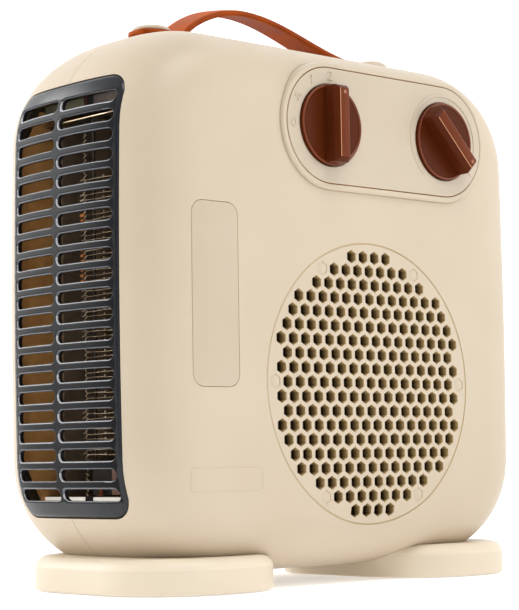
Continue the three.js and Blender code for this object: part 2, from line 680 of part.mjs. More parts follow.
// The scroll's wall: a spiral that opens clockwise from its tongue, with straight walls out to the element.
function scrollWall() {
  const centre = (angle, radius) =>
    new THREE.Vector2(INTAKE_X + radius * Math.cos(angle), INTAKE_Z + radius * Math.sin(angle));
  const tongue = (TONGUE_ANGLE * Math.PI) / 180;
  const sweep = (SCROLL_SWEEP * Math.PI) / 180;
  const steps = 20;
  const tip = centre(tongue, TONGUE_RADIUS);
  const innerZ = DUCT_HALF_HEIGHT;
  const outerZ = DUCT_HALF_HEIGHT + SCROLL_WALL;
  const inner = [new THREE.Vector2(DUCT_END_X, innerZ), new THREE.Vector2(-74.6, innerZ), tip];
  const outer = [
    new THREE.Vector2(DUCT_END_X, outerZ), new THREE.Vector2(-73.4, outerZ),
    new THREE.Vector2(tip.x, tip.y + 2 * SCROLL_WALL),
  ];
  for (let step = 1; step <= steps; step++) {
    const angle = tongue - (sweep * step) / steps;
    const radius = TONGUE_RADIUS + (SCROLL_GROWTH * step) / steps;
    inner.push(centre(angle, radius));
    outer.push(centre(angle, radius + SCROLL_WALL));
  }
  inner.push(new THREE.Vector2(-74, -innerZ), new THREE.Vector2(DUCT_END_X, -innerZ));
  outer.push(new THREE.Vector2(-74, -outerZ), new THREE.Vector2(DUCT_END_X, -outerZ));
  return new THREE.Shape([...inner, ...outer.reverse()]);
}

function addFan() {
  const ringHoles = POSTS.map(([x, z]) => alongY(disc(x, z, 1.5), -50, -40, 4));
  const ring = turnedAlongY(
    [
      [44.5, RING_FRONT], [61, RING_FRONT], [61, RING_FRONT + 1.6], [47, RING_FRONT + 1.6],
      [46, RING_FRONT + 5.6], [44.5, RING_FRONT + 5.6], [44.5, RING_FRONT],
    ],
    20, INTAKE_X, INTAKE_Z,
  );
  add("fan_inlet_ring", cut(solid(ring), ringHoles), SLATE);
  add("fan_scroll", alongY(scrollWall(), SCROLL_FRONT, SCROLL_BACK), SLATE);

  const plate = alongY(disc(INTAKE_X, INTAKE_Z, 64), MOTOR_PLATE_Y, MOTOR_PLATE_Y + 1.2, 12);
  add("motor_plate", cut(solid(plate), [alongY(disc(INTAKE_X, INTAKE_Z, 8), 0, 20, 5)]), STEEL);

  const hubDisc = alongY(disc(0, 0, IMPELLER_RADIUS), IMPELLER_BACK - 1.4, IMPELLER_BACK, 10);
  const hub = alongY(disc(0, 0, 7), IMPELLER_BACK - 10, IMPELLER_BACK - 1, 5);
  const frontRing = disc(0, 0, IMPELLER_RADIUS);
  frontRing.holes.push(disc(0, 0, IMPELLER_RADIUS - 7));
  const blades = [];
  for (let i = 0; i < BLADE_COUNT; i++) {
    const blade = box(-0.6, IMPELLER_FRONT + 0.8, -4.8, 0.6, IMPELLER_BACK - 1, 4.8);
    blade.rotateY(0.7).translate(0, 0, IMPELLER_RADIUS - 5.6);
    blades.push(blade.rotateY((2 * Math.PI * i) / BLADE_COUNT));
  }
  const rimRing = alongY(frontRing, IMPELLER_FRONT, IMPELLER_FRONT + 1.4, 10);
  const impeller = union([hubDisc, hub, rimRing, ...blades]);
  const bore = alongY(disc(0, 0, SHAFT_RADIUS + GAP), IMPELLER_BACK - 9, IMPELLER_BACK + 1, 6);
  add("impeller", geometryOf(cut(impeller, [bore])).translate(INTAKE_X, 0, INTAKE_Z), BLACK_PLASTIC);

  const shaftFront = IMPELLER_BACK - 8.6;
  const shaftProfile = [
    [0, shaftFront], [SHAFT_RADIUS, shaftFront], [SHAFT_RADIUS, SHAFT_END], [0, SHAFT_END],
  ];
  add("motor_shaft", turnedAlongY(shaftProfile, 16, INTAKE_X, INTAKE_Z), STEEL);
  const rotor = solid(alongY(disc(INTAKE_X, INTAKE_Z, ROTOR_RADIUS), STACK_FRONT - 1, STACK_BACK + 1, 8));
  add("motor_rotor", cut(rotor, [alongY(disc(INTAKE_X, INTAKE_Z, SHAFT_RADIUS + GAP), 10, 50, 6)]), STEEL);

  const stator = alongY(
    roundedRectangle(INTAKE_X - 28, INTAKE_Z - 44, INTAKE_X + 28, INTAKE_Z + 24, 2),
    STACK_FRONT, STACK_BACK, 2,
  );
  add(
    "motor_stator",
    cut(solid(stator), [
      alongY(disc(INTAKE_X, INTAKE_Z, ROTOR_RADIUS + 0.6), 10, 50, 8),
      alongY(roundedRectangle(INTAKE_X - 18, INTAKE_Z - 32, INTAKE_X + 18, INTAKE_Z - 18, 1), 10, 50, 2),
    ]),
    STEEL,
  );
  const coil = box(INTAKE_X - 15, 15, INTAKE_Z - 50, INTAKE_X + 15, 43, INTAKE_Z - 19.5);
  const leg = box(INTAKE_X - 30, 20.6, INTAKE_Z - 44.4, INTAKE_X + 30, 37.4, INTAKE_Z - 31.6);
  add("motor_coil", cut(solid(coil), [leg]), COPPER);
  for (const [name, y] of [["motor_bridge_front", 14.6], ["motor_bridge_rear", 41]]) {
    const bridge = roundedRectangle(INTAKE_X - 26, INTAKE_Z - 7, INTAKE_X + 26, INTAKE_Z + 7, 6.9);
    const strip = alongY(bridge, y, y + 2, 2);
    const bush = alongY(disc(INTAKE_X, INTAKE_Z, 5.5), y - 1, y + 3, 5);
    const hole = alongY(disc(INTAKE_X, INTAKE_Z, SHAFT_RADIUS + 0.12), 0, 60, 6);
    add(name, cut(union([strip, bush]), [hole]), BRASS);
  }
}

// ---- Heating element ----

function sideCard(y) {
  const shape = new THREE.Shape([
    new THREE.Vector2(-77, -86), new THREE.Vector2(-102, -86), new THREE.Vector2(-109, -72),
    new THREE.Vector2(-109, 72), new THREE.Vector2(-102, 86), new THREE.Vector2(-77, 86),
  ]);
  return alongY(shape, y - MICA / 2, y + MICA / 2);
}

// A flat band that follows a path with square turns: its edges stand half the width to either side.
function band(path, halfWidth) {
  const left = [];
  const right = [];
  path.forEach((point, i) => {
    const before = i > 0 ? point.clone().sub(path[i - 1]).normalize() : new THREE.Vector2();
    const after = i + 1 < path.length ? path[i + 1].clone().sub(point).normalize() : new THREE.Vector2();
    const along = before.add(after);
    const side = new THREE.Vector2(-along.y, along.x).multiplyScalar(halfWidth);
    left.push(point.clone().add(side));
    right.unshift(point.clone().sub(side));
  });
  return new THREE.Shape([...left, ...right]);
}

// A wire that runs up the element in level passes, turning at the front side card and past the centre card.
function winding(x, phase) {
  const path = [];
  for (let row = 0; row < WIRE_ROWS; row++) {
    const z = (row - (WIRE_ROWS - 1) / 2) * WIRE_PITCH;
    const ends = (row + phase) % 2 === 0 ? [WIRE_FRONT_Y, WIRE_REAR_Y] : [WIRE_REAR_Y, WIRE_FRONT_Y];
    path.push(...ends.map((y) => new THREE.Vector2(y, z)));
  }
  return alongX(band(path, WIRE_WIDTH / 2), x, x + WIRE_WIDTH);
}

function addElement() {
  add("mica_front_side", sideCard(-SIDE_CARD_Y), MICA_BROWN);
  add("mica_rear_side", sideCard(SIDE_CARD_Y), MICA_BROWN);
  for (const [name, y] of [["mica_middle_card", -16.5], ["mica_centre_card", 0]]) {
    const card = box(CARD_FRONT_X, y - MICA / 2, CARD_BOTTOM_Z, CARD_BACK_X, y + MICA / 2, CARD_TOP_Z);
    add(name, card, MICA_BROWN);
  }
  const plateHalf = SIDE_CARD_Y - MICA;
  for (const [word, end, side] of [["bottom", CARD_BOTTOM_Z, -1], ["top", CARD_TOP_Z, 1]]) {
    const z = end + side * (GAP + MICA / 2);
    const cover = box(CARD_FRONT_X - 1, -plateHalf, z - MICA / 2, CARD_BACK_X + 1, plateHalf, z + MICA / 2);
    add(`mica_${word}_plate`, cover, MICA_BROWN);
    const bracketZ = z + side * (MICA / 2 + GAP + 0.6);
    add("element_bracket_" + word, box(-94, -12, bracketZ - 0.6, -86, 12, bracketZ + 0.6), STEEL);
  }
  add("heating_wire_front", winding(CARD_FRONT_X - 1.6, 0), STEEL);
  add("heating_wire_back", winding(CARD_BACK_X + 0.7, 1), STEEL);
  add("thermal_cutout", turnedAlongY([[0, 1.2], [6.5, 1.2], [6.5, 6], [0, 6]], 16, -88, 62), STEEL);
  add("thermal_fuse", turned([[0, -7], [2, -7], [2, 7], [0, 7]], 10).translate(-88, 3.5, 40), STEEL);
}

// ---- Electrical ----

function addElectrical() {
  add("tilt_switch", box(24, 14, -110.5, 44, 28, -92), BLACK_PLASTIC);
  add("terminal_block", box(60, 24, 50, 84, 40, 64), WHITE_CERAMIC);
  const inletProfile = [
    [4, 46], [8.6, 46], [8.6, 52.6], [6, 52.6], [6, 57], [7.6, 57.4], [6.6, 58.6], [4, 58.6], [4, 46],
  ];
  const inlet = turnedAlongY(inletProfile, 14, ...CORD_INLET);
  add("cord_inlet", inlet, BLACK_PLASTIC);
}

const skin = wholeBody(0);
addShells(skin);
addShellScrews();
addIntakeGrille(skin);
addOutletGrille();
addPlates();
addFeet();
addHandle();
addControls();
addFan();
addElement();
addElectrical();

// The origin goes to the bottom centre of everything.
heater.updateMatrixWorld(true);
const extent = new THREE.Box3().setFromObject(heater, true);
const middle = extent.getCenter(new THREE.Vector3());
heater.position.set(-middle.x, -middle.y, -extent.min.z);

export default heater;
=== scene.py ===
"""Retro fan heater with a strap handle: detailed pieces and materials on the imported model, in metres."""

import math

import bmesh
import bpy
from mathutils import Euler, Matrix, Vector
from mathutils.geometry import delaunay_2d_cdt


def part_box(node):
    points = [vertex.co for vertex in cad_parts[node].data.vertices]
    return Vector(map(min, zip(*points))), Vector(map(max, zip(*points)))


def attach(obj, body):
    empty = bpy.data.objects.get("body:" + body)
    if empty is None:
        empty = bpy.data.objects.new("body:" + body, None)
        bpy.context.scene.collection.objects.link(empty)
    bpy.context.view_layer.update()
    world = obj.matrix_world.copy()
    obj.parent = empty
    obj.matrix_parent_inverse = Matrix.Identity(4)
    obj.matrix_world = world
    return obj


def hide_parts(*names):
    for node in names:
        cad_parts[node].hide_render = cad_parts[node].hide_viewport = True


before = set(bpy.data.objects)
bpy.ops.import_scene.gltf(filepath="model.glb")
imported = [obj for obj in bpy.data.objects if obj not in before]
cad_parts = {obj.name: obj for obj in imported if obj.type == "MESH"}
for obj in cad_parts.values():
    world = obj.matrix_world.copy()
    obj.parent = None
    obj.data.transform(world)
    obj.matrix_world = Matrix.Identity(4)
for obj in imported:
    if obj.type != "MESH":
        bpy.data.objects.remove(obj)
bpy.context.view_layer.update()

# ---------------------------------------------------------------------------
# Frame: pieces are drawn in millimetres from the centre of the body, +X right, +Y back, +Z up
# ---------------------------------------------------------------------------
MM = 0.001
HALF_SEAM = 0.15
rear_low, rear_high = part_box("rear_shell")
HALF_WIDTH = 119.5
CENTRE = Vector((rear_high.x - HALF_WIDTH * MM, rear_low.y - HALF_SEAM * MM, (rear_low.z + rear_high.z) / 2))


def box_mm(node):
    low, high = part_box(node)
    return (low - CENTRE) / MM, (high - CENTRE) / MM


# Body form, shared with the CAD model
HALF_HEIGHT = (rear_high.z - rear_low.z) / 2 / MM
HALF_DEPTH = (rear_high.y - CENTRE.y) / MM
CORNER_RADIUS = 49.6
SIDE_BOW_RADIUS = 2840.0
EDGE_WIDTH = 36.3
EDGE_POWER = 2.83
WALL = 2.6
CORNER_Z = HALF_HEIGHT - CORNER_RADIUS
SIDE_ARC_X = HALF_WIDTH - SIDE_BOW_RADIUS
CORNER_X = SIDE_ARC_X + math.sqrt((SIDE_BOW_RADIUS - CORNER_RADIUS) ** 2 - CORNER_Z**2)
SIDE_ANGLE = math.atan2(CORNER_Z, CORNER_X - SIDE_ARC_X)

# Air intake
intake_low, intake_high = box_mm("intake_grille")
INTAKE_X = (intake_low.x + intake_high.x) / 2
INTAKE_Z = (intake_low.z + intake_high.z) / 2
INTAKE_RADIUS = (intake_high.x - intake_low.x) / 2
INTAKE_STEPS = 144
HEX_PITCH = 7.1
HEX_ACROSS_FLATS = 5.25
HEX_ROWS = (4, 7, 10, 13, 14, 15, 16, 15, 16, 15, 16, 15, 16, 15, 14, 13, 10, 7, 4)
BLIND_RADIUS = 8 * HEX_PITCH

# Air outlet
OUTLET_HALF_HEIGHT = 91.3
OUTLET_FRONT = 37.0
OUTLET_REAR = 36.0
OUTLET_CORNER = 9.5
SLOT_COUNT = 21
SLOT_PITCH = 8.18
SLOT_HEIGHT = 4.9
SLOT_FRONT = 34.0
SLOT_REAR = 32.4
SLOT_FIELD = 85.2
RIM_REACH = 1.0
BAR_Y = 0.5
SLOT_CORNER = 2.35
SLOT_STRETCH = 0.98
CENTRE_BAR = 2.4
GRILLE_PROUD = 0.4
GRILLE_THICKNESS = 2.6
GRILLE_EDGE = 1.5
SLOT_EDGE = 0.9

# Controls
function_low, function_high = box_mm("function_spindle")
thermostat_low, thermostat_high = box_mm("thermostat_spindle")
FUNCTION_X = (function_low.x + function_high.x) / 2
THERMOSTAT_X = (thermostat_low.x + thermostat_high.x) / 2
PANEL_Z = (function_low.z + function_high.z) / 2
panel_low, panel_high = box_mm("control_panel")
PANEL_RADIUS = (panel_high.z - panel_low.z) / 2
PANEL_FRONT = panel_low.y
PANEL_THICKNESS = panel_high.y - panel_low.y
KNOB_RADIUS = 17.8
KNOB_WELL = 18.15
SPINDLE_HOLE = 3.4
WELL_FLOOR = 2.2
WELL_WALL = 0.7
KNOB_RISE = 1.5
BAR_RISE = 8.0
BAR_HALF_LENGTH = 17.0
BAR_HALF_WIDTH = 4.4
THERMOSTAT_POINTS_AT = 135.0


# ---------------------------------------------------------------------------
# Materials
# ---------------------------------------------------------------------------
class Shader:
    """A principled material whose nodes are added one at a time, in object space."""

    def __init__(self, name, roughness, metallic=0.0, specular=0.5):
        self.material = bpy.data.materials.new(name)
        self.material.use_nodes = True
        self.tree = self.material.node_tree
        self.surface = self.tree.nodes["Principled BSDF"]
        self.surface.inputs["Roughness"].default_value = roughness
        self.surface.inputs["Metallic"].default_value = metallic
        self.surface.inputs["Specular IOR Level"].default_value = specular
        self.space = self.node("ShaderNodeTexCoord").outputs["Object"]

    def node(self, kind, **values):
        made = self.tree.nodes.new(kind)
        for key, value in values.items():
            if hasattr(made, key):
                setattr(made, key, value)
            else:
                made.inputs[key.replace("_", " ")].default_value = value
        return made

    def link(self, output, socket):
        self.tree.links.new(output, socket)

    def noise(self, scale, detail=3.0, roughness=0.55, distortion=0.0, space=None):
        made = self.node("ShaderNodeTexNoise", Scale=scale, Detail=detail, Distortion=distortion)
        made.inputs["Roughness"].default_value = roughness
        self.link(space or self.space, made.inputs["Vector"])
        return made.outputs["Fac"]

    def stretched(self, scale):
        made = self.node("ShaderNodeMapping")
        made.inputs["Scale"].default_value = scale
        self.link(self.space, made.inputs["Vector"])
        return made.outputs["Vector"]

    def axis(self, letter):
        made = self.node("ShaderNodeSeparateXYZ")
        self.link(self.space, made.inputs["Vector"])
        return made.outputs[letter]

    def range(self, value, low, high, to_low, to_high):
        made = self.node("ShaderNodeMapRange")
        for socket, number in zip(("From Min", "From Max", "To Min", "To Max"), (low, high, to_low, to_high)):
            made.inputs[socket].default_value = number
        self.link(value, made.inputs["Value"])
        return made.outputs["Result"]

    def blend(self, factor, first, second, mode="MIX"):
        made = self.node("ShaderNodeMix", data_type="RGBA", blend_type=mode)
        self.link(factor, made.inputs["Factor"])
        for socket, colour in ((made.inputs[6], first), (made.inputs[7], second)):
            if isinstance(colour, tuple):
                socket.default_value = (*colour, 1.0)
            else:
                self.link(colour, socket)
        return made.outputs[2]

    def sum(self, first, second, share=1.0):
        made = self.node("ShaderNodeMath", operation="MULTIPLY_ADD")
        self.link(second, made.inputs[0])
        made.inputs[1].default_value = share
        self.link(first, made.inputs[2])
        return made.outputs[0]

    def colour(self, output):
        self.link(output, self.surface.inputs["Base Color"])

    def gloss(self, output):
        self.link(output, self.surface.inputs["Roughness"])

    def bump(self, height, strength, distance_mm):
        made = self.node("ShaderNodeBump")
        made.inputs["Strength"].default_value = strength
        made.inputs["Distance"].default_value = distance_mm * MM
        self.link(height, made.inputs["Height"])
        self.link(made.outputs["Normal"], self.surface.inputs["Normal"])


def linear(red, green, blue):
    """A display colour, 0 to 255, as linear light."""
    def one(value):
        share = value / 255
        return share / 12.92 if share <= 0.04045 else ((share + 0.055) / 1.055) ** 2.4
    return (one(red), one(green), one(blue))


def moulded(name, light, dark, roughness, specular=0.5, grain=1500.0, depth=0.02, patch=16.0):
    """Moulded plastic: slow tone drift, a fine eroded texture and a gloss that wanders with both."""
    shader = Shader(name, roughness, specular=specular)
    drift = shader.noise(patch, 2.0)
    fine = shader.noise(grain, 2.0, 0.6)
    tone = shader.sum(shader.range(drift, 0.3, 0.7, 0.0, 0.8), fine, 0.25)
    shader.colour(shader.blend(tone, light, dark))
    shader.gloss(shader.range(shader.noise(90.0, 3.0), 0.25, 0.75, roughness - 0.03, roughness + 0.05))
    shader.bump(fine, 0.35, depth)
    return shader.material


def metal(name, light, dark, roughness, streak=(60.0, 60.0, 900.0)):
    """Drawn or rolled metal with streaks along its length and dull patches."""
    shader = Shader(name, roughness, metallic=1.0)
    lines = shader.noise(1.0, 3.0, 0.6, space=shader.stretched(streak))
    dull = shader.noise(130.0, 4.0)
    shader.colour(shader.blend(shader.range(dull, 0.35, 0.7, 0.0, 1.0), light, dark))
    shader.gloss(shader.range(lines, 0.3, 0.7, roughness - 0.1, roughness + 0.15))
    shader.bump(lines, 0.25, 0.02)
    return shader.material


def leather(name, light, dark, grain=650.0, height=0.12, roughness=0.55):
    """Tanned leather: pebbled grain with fine pores, worn lighter patches and a dull waxed gloss."""
    shader = Shader(name, roughness, specular=0.1)
    cells = shader.node("ShaderNodeTexVoronoi", Scale=grain)
    cells.feature = "DISTANCE_TO_EDGE"
    shader.link(shader.space, cells.inputs["Vector"])
    pebble = shader.range(cells.outputs["Distance"], 0.0, 0.25, 0.0, 1.0)
    wear = shader.noise(45.0, 5.0, 0.65, 0.4)
    fibre = shader.noise(2200.0, 3.0, 0.7)
    tone = shader.sum(shader.range(wear, 0.3, 0.72, 0.0, 0.9), fibre, 0.3)
    base = shader.blend(tone, dark, light)
    creases = shader.blend(shader.range(cells.outputs["Distance"], 0.0, 0.12, 0.35, 0.0), base, dark)
    shader.colour(creases)
    shader.gloss(shader.range(wear, 0.3, 0.7, roughness - 0.08, roughness + 0.15))
    shader.bump(shader.sum(pebble, fibre, 0.5), 0.6, height)
    return shader.material


def mica_sheet(name, light, dark):
    """Pressed mica: amber sheet with pale flakes and a soft pearly gloss."""
    shader = Shader(name, 0.45)
    cells = shader.node("ShaderNodeTexVoronoi", Scale=420.0)
    shader.link(shader.space, cells.inputs["Vector"])
    split = shader.node("ShaderNodeSeparateColor")
    shader.link(cells.outputs["Color"], split.inputs["Color"])
    cloud = shader.noise(70.0, 4.0, 0.6, 0.6)
    tone = shader.sum(shader.range(cloud, 0.3, 0.7, 0.0, 0.8), split.outputs["Red"], 0.3)
    shader.colour(shader.blend(tone, light, dark))
    shader.gloss(shader.range(split.outputs["Green"], 0.0, 1.0, 0.3, 0.6))
    shader.bump(cloud, 0.3, 0.05)
    return shader.material


def painted_shade_wall(name, light, dark, start_mm, end_mm):
    """The walls of the intake's cells: bare plastic with painted shade that darkens from the face inwards,
    and a faint random mottle.
    """
    shader = Shader(name, 0.6, specular=0.25)
    depth = shader.range(shader.axis("Y"), CENTRE.y + start_mm * MM, CENTRE.y + end_mm * MM, 0.0, 1.0)
    dust = shader.noise(700.0, 4.0, 0.65)
    shader.colour(shader.blend(shader.sum(depth, shader.range(dust, 0.3, 0.7, -0.1, 0.1), 1.0), light, dark))
    shader.bump(dust, 0.3, 0.05)
    return shader.material


def winding_copper(name):
    """Enamelled copper wire wound in tight level turns, with a painted highlight on each turn and painted
    shade between turns.
    """
    shader = Shader(name, 0.35, metallic=0.9)
    turns = shader.node("ShaderNodeTexWave", Scale=330.0, Distortion=0.4)
    turns.bands_direction = "Y"
    shader.link(shader.space, turns.inputs["Vector"])
    # Colour follows the turns' bands: painted highlight on each turn, painted shade between them
    shader.colour(shader.blend(turns.outputs["Fac"], linear(96, 44, 22), linear(196, 112, 62)))
    shader.bump(turns.outputs["Fac"], 0.8, 0.25)
    return shader.material


def ceramic_like(name, light, dark):
    """A fired or pressed piece: mottled tone and a fine dry grain."""
    shader = Shader(name, 0.5)
    mottle = shader.range(shader.noise(160.0, 4.0), 0.3, 0.7, 0.0, 1.0)
    shader.colour(shader.blend(mottle, light, dark))
    shader.bump(shader.noise(1400.0, 2.0), 0.3, 0.03)
    return shader.material


def rubber(name):
    shader = Shader(name, 0.85)
    fine = shader.noise(1800.0, 3.0, 0.7)
    dust = shader.range(shader.noise(120.0), 0.3, 0.7, 0.0, 1.0)
    shader.colour(shader.blend(dust, (0.02,) * 3, (0.05, 0.048, 0.045)))
    shader.bump(fine, 0.6, 0.05)
    return shader.material


def finish(make, name, light, dark, *rest, **more):
    """A material of one of the kinds above from two display colours."""
    return make(name, linear(*light), linear(*dark), *rest, **more)


CREAM_GRAIN = {"grain": 3000.0, "depth": 0.006}
LABEL_GRAIN = {"grain": 2600.0, "depth": 0.006}
SLATE_GRAIN = {"grain": 3500.0, "depth": 0.004}
BROWN_GRAIN = {"grain": 2200.0, "depth": 0.006}
EDGE_GRAIN = {"grain": 1500.0, "height": 0.05}
# Depths over which the cell walls' painted shade deepens
SHADE_START = 0.2
SHADE_END = 4.6
LEDGE_GLOW = 0.55

CREAM = finish(moulded, "cream_plastic", (201, 186, 164), (196, 180, 157), 0.42, 0.4, **CREAM_GRAIN)
# Lighter copies of the cream for the feet, lighter still on their tops: painted light
CREAM_PAINTED_LIGHT_FOOT = finish(moulded, "cream_foot", (218, 205, 184), (214, 200, 177), 0.42, 0.4, **CREAM_GRAIN)
CREAM_PANEL = finish(moulded, "cream_panel", (196, 182, 162), (191, 176, 154), 0.38, 0.4, **CREAM_GRAIN)
CREAM_PAINTED_LIGHT_FOOT_TOP = finish(moulded, "cream_foot_top", (224, 211, 189), (220, 206, 182), 0.42, 0.4, **CREAM_GRAIN)
CREAM_LABEL = finish(moulded, "cream_label", (194, 179, 158), (189, 173, 150), 0.3, 0.4, **LABEL_GRAIN)
# Darker, yellower cream for the ledge at the bottom of the intake's gap: painted shade in the groove
CREAM_SEAT_PAINTED_SHADE = finish(moulded, "cream_seat", (196, 176, 140), (182, 160, 122), 0.6, 0.2)
# Golden brown for the ledge under the panel's gap: painted shade in the gap line
PANEL_SEAT_PAINTED_SHADE = finish(moulded, "panel_seat", (146, 94, 22), (114, 68, 12), 0.6, 0.1)
# Cell walls, light at the face and dark deeper in: painted shade
CELL_WALL_PAINTED_SHADE = finish(
    painted_shade_wall, "cell_wall", (196, 168, 116), (44, 30, 14), -HALF_DEPTH + SHADE_START, -HALF_DEPTH + SHADE_END
)
SLATE = finish(moulded, "slate_plastic", (31, 33, 38), (27, 29, 33), 0.22, 0.34, **SLATE_GRAIN)
# Darker and lighter copies of the slate for the outlet's slots: painted shade on the bar fronts, painted
# light on the rims, a painted highlight on their brightest parts
SLATE_BAR_PAINTED_SHADE = finish(moulded, "slate_bar", (16, 17, 20), (13, 14, 17), 0.36, 0.12, **SLATE_GRAIN)
SLATE_RIM_PAINTED_LIGHT = finish(moulded, "slate_rim", (104, 106, 112), (90, 92, 98), 0.24, 0.5, **SLATE_GRAIN)
SLATE_PAINTED_HIGHLIGHT = finish(moulded, "slate_glint", (196, 197, 200), (172, 174, 178), 0.24, 0.5, **SLATE_GRAIN)
SLATE_INNER = finish(moulded, "slate_inner", (34, 34, 34), (24, 24, 24), 0.6, 0.2)
# Near-black brown for the inside parts: partly their own dark plastic, partly painted shade deep in the body
DUCT_AND_SHADE = finish(moulded, "duct_plastic", (44, 34, 24), (28, 22, 16), 0.6, 0.2)
BROWN = finish(moulded, "brown_plastic", (86, 37, 14), (78, 32, 11), 0.3, 0.07, **BROWN_GRAIN)
# Lighter copies of the knob brown: painted light on the grip's front face, painted highlights on its long
# edges and on the disc's lip
BROWN_FACE_PAINTED_LIGHT = finish(moulded, "brown_face", (112, 57, 33), (103, 50, 28), 0.3, 0.06, **BROWN_GRAIN)
BROWN_RIM_PAINTED_HIGHLIGHT = finish(moulded, "brown_rim", (124, 64, 38), (110, 54, 31), 0.3, 0.2, **BROWN_GRAIN)
BROWN_EDGE_PAINTED_HIGHLIGHT = finish(moulded, "brown_edge", (226, 168, 128), (210, 150, 112), 0.22, 0.3, **BROWN_GRAIN)
BLACK = moulded("black_plastic", (0.012,) * 3, (0.02,) * 3, 0.45)
HIDE = finish(leather, "leather_face", (200, 94, 22), (134, 54, 8))
HIDE_EDGE = finish(leather, "leather_edge", (170, 76, 10), (118, 42, 4), roughness=0.42, **EDGE_GRAIN)
STEEL = metal("steel", (0.62, 0.63, 0.64), (0.42, 0.42, 0.43), 0.35)
POINTER = finish(metal, "pointer_metal", (156, 110, 94), (122, 78, 62), 0.3)
BRASS = finish(metal, "brass", (206, 166, 92), (158, 118, 58), 0.35)
HEAT_WIRE = finish(metal, "heat_wire", (232, 214, 186), (170, 142, 108), 0.3)
COPPER = winding_copper("copper_winding")
AMBER_BEAD = finish(ceramic_like, "amber_bead", (226, 138, 40), (150, 78, 20))
MICA = finish(mica_sheet, "mica", (248, 190, 116), (220, 156, 90))
MICA_DARK = finish(mica_sheet, "mica_dark", (84, 76, 54), (56, 48, 34))
MICA_BROWN = finish(mica_sheet, "mica_brown", (150, 100, 66), (112, 72, 46))
MICA_PALE = finish(mica_sheet, "mica_pale", (140, 120, 98), (104, 88, 72))
GASKET_OLIVE = finish(ceramic_like, "gasket_olive", (150, 146, 118), (118, 114, 90))
GASKET_PINK = finish(ceramic_like, "gasket_pink", (158, 142, 134), (128, 114, 108))
SLEEVE_RED = finish(ceramic_like, "sleeve_red", (96, 40, 30), (70, 28, 22))
CERAMIC = finish(ceramic_like, "white_ceramic", (236, 232, 222), (208, 200, 186))
# A pale ceramic ledge that glows a little though it is no lamp: painted light
LEDGE_PAINTED_LIGHT = finish(ceramic_like, "lit_ledge", (240, 234, 222), (216, 208, 192))
ledge_surface = LEDGE_PAINTED_LIGHT.node_tree.nodes["Principled BSDF"]
ledge_surface.inputs["Emission Color"].default_value = (1.0, 0.95, 0.86, 1.0)
ledge_surface.inputs["Emission Strength"].default_value = LEDGE_GLOW
RUBBER = rubber("rubber")


# ---------------------------------------------------------------------------
# Mesh helpers
# ---------------------------------------------------------------------------
def new_piece(name, points, faces, material, body="housing", sharp=34.0, slot=None):
    """A named mesh of points in millimetres that rides on a body, smooth but for edges over an angle."""
    mesh = bpy.data.meshes.new(name)
    mesh.from_pydata([CENTRE + Vector(p) * MM for p in points], [], faces)
    mesh.validate()
    for one in material if isinstance(material, list) else [material]:
        mesh.materials.append(one)
    piece = bpy.data.objects.new(name, mesh)
    bpy.context.collection.objects.link(piece)
    outward(mesh)
    smooth(mesh, sharp)
    if body:
        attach(piece, body)
    return piece


def outward(mesh):
    work = bmesh.new()
    work.from_mesh(mesh)
    bmesh.ops.recalc_face_normals(work, faces=work.faces)
    work.to_mesh(mesh)
    work.free()


def smooth(mesh, sharp):
    mesh.shade_smooth()
    mesh.set_sharp_from_angle(angle=math.radians(sharp))


def loft(rings, ends=True, around=False):
    """Points and faces of a skin through closed rings of equal count, with flat ends or closed on itself."""
    count = len(rings[0])
    points = [p for ring in rings for p in ring]
    faces = []
    spans = len(rings) if around else len(rings) - 1
    for i in range(spans):
        a, b = i * count, ((i + 1) % len(rings)) * count
        for j in range(count):
            k = (j + 1) % count
            faces.append((a + j, a + k, b + k, b + j))
    if ends and not around:
        faces.append(tuple(range(count)))
        faces.append(tuple(range(len(points) - count, len(points)))[::-1])
    return points, faces


def joined(parts):
    """Several (points, faces) pairs as one."""
    points, faces = [], []
    for some_points, some_faces in parts:
        start = len(points)
        points += some_points
        faces += [tuple(i + start for i in face) for face in some_faces]
    return points, faces


def baked(piece):
    """Applies a piece's modifiers to its mesh."""
    graph = bpy.context.evaluated_depsgraph_get()
    mesh = bpy.data.meshes.new_from_object(piece.evaluated_get(graph))
    before = piece.data
    piece.modifiers.clear()
    piece.data = mesh
    bpy.data.meshes.remove(before)


def cut(piece, tools, sharp=34.0, bevel_mm=0.0):
    """Takes closed shapes, each (points, faces), out of a piece and eases the new edges."""
    for points, faces in tools:
        tool = new_piece("tool", points, faces, CREAM, body=None)
        step = piece.modifiers.new("cut", "BOOLEAN")
        step.operation = "DIFFERENCE"
        step.solver = "EXACT"
        step.object = tool
        baked(piece)
        bpy.data.objects.remove(tool)
    if bevel_mm:
        ease = piece.modifiers.new("ease", "BEVEL")
        ease.width = bevel_mm * MM
        ease.segments = 2
        ease.limit_method = "ANGLE"
        ease.angle_limit = math.radians(48)
        ease.use_clamp_overlap = True
        baked(piece)
    smooth(piece.data, sharp)
    weigh = piece.modifiers.new("weigh", "WEIGHTED_NORMAL")
    weigh.keep_sharp = True
    baked(piece)


def arc(centre_x, centre_y, radius, start, end, steps):
    """Points on an arc, in degrees."""
    made = []
    for i in range(steps + 1):
        angle = math.radians(start + (end - start) * i / steps)
        made.append((centre_x + radius * math.cos(angle), centre_y + radius * math.sin(angle)))
    return made


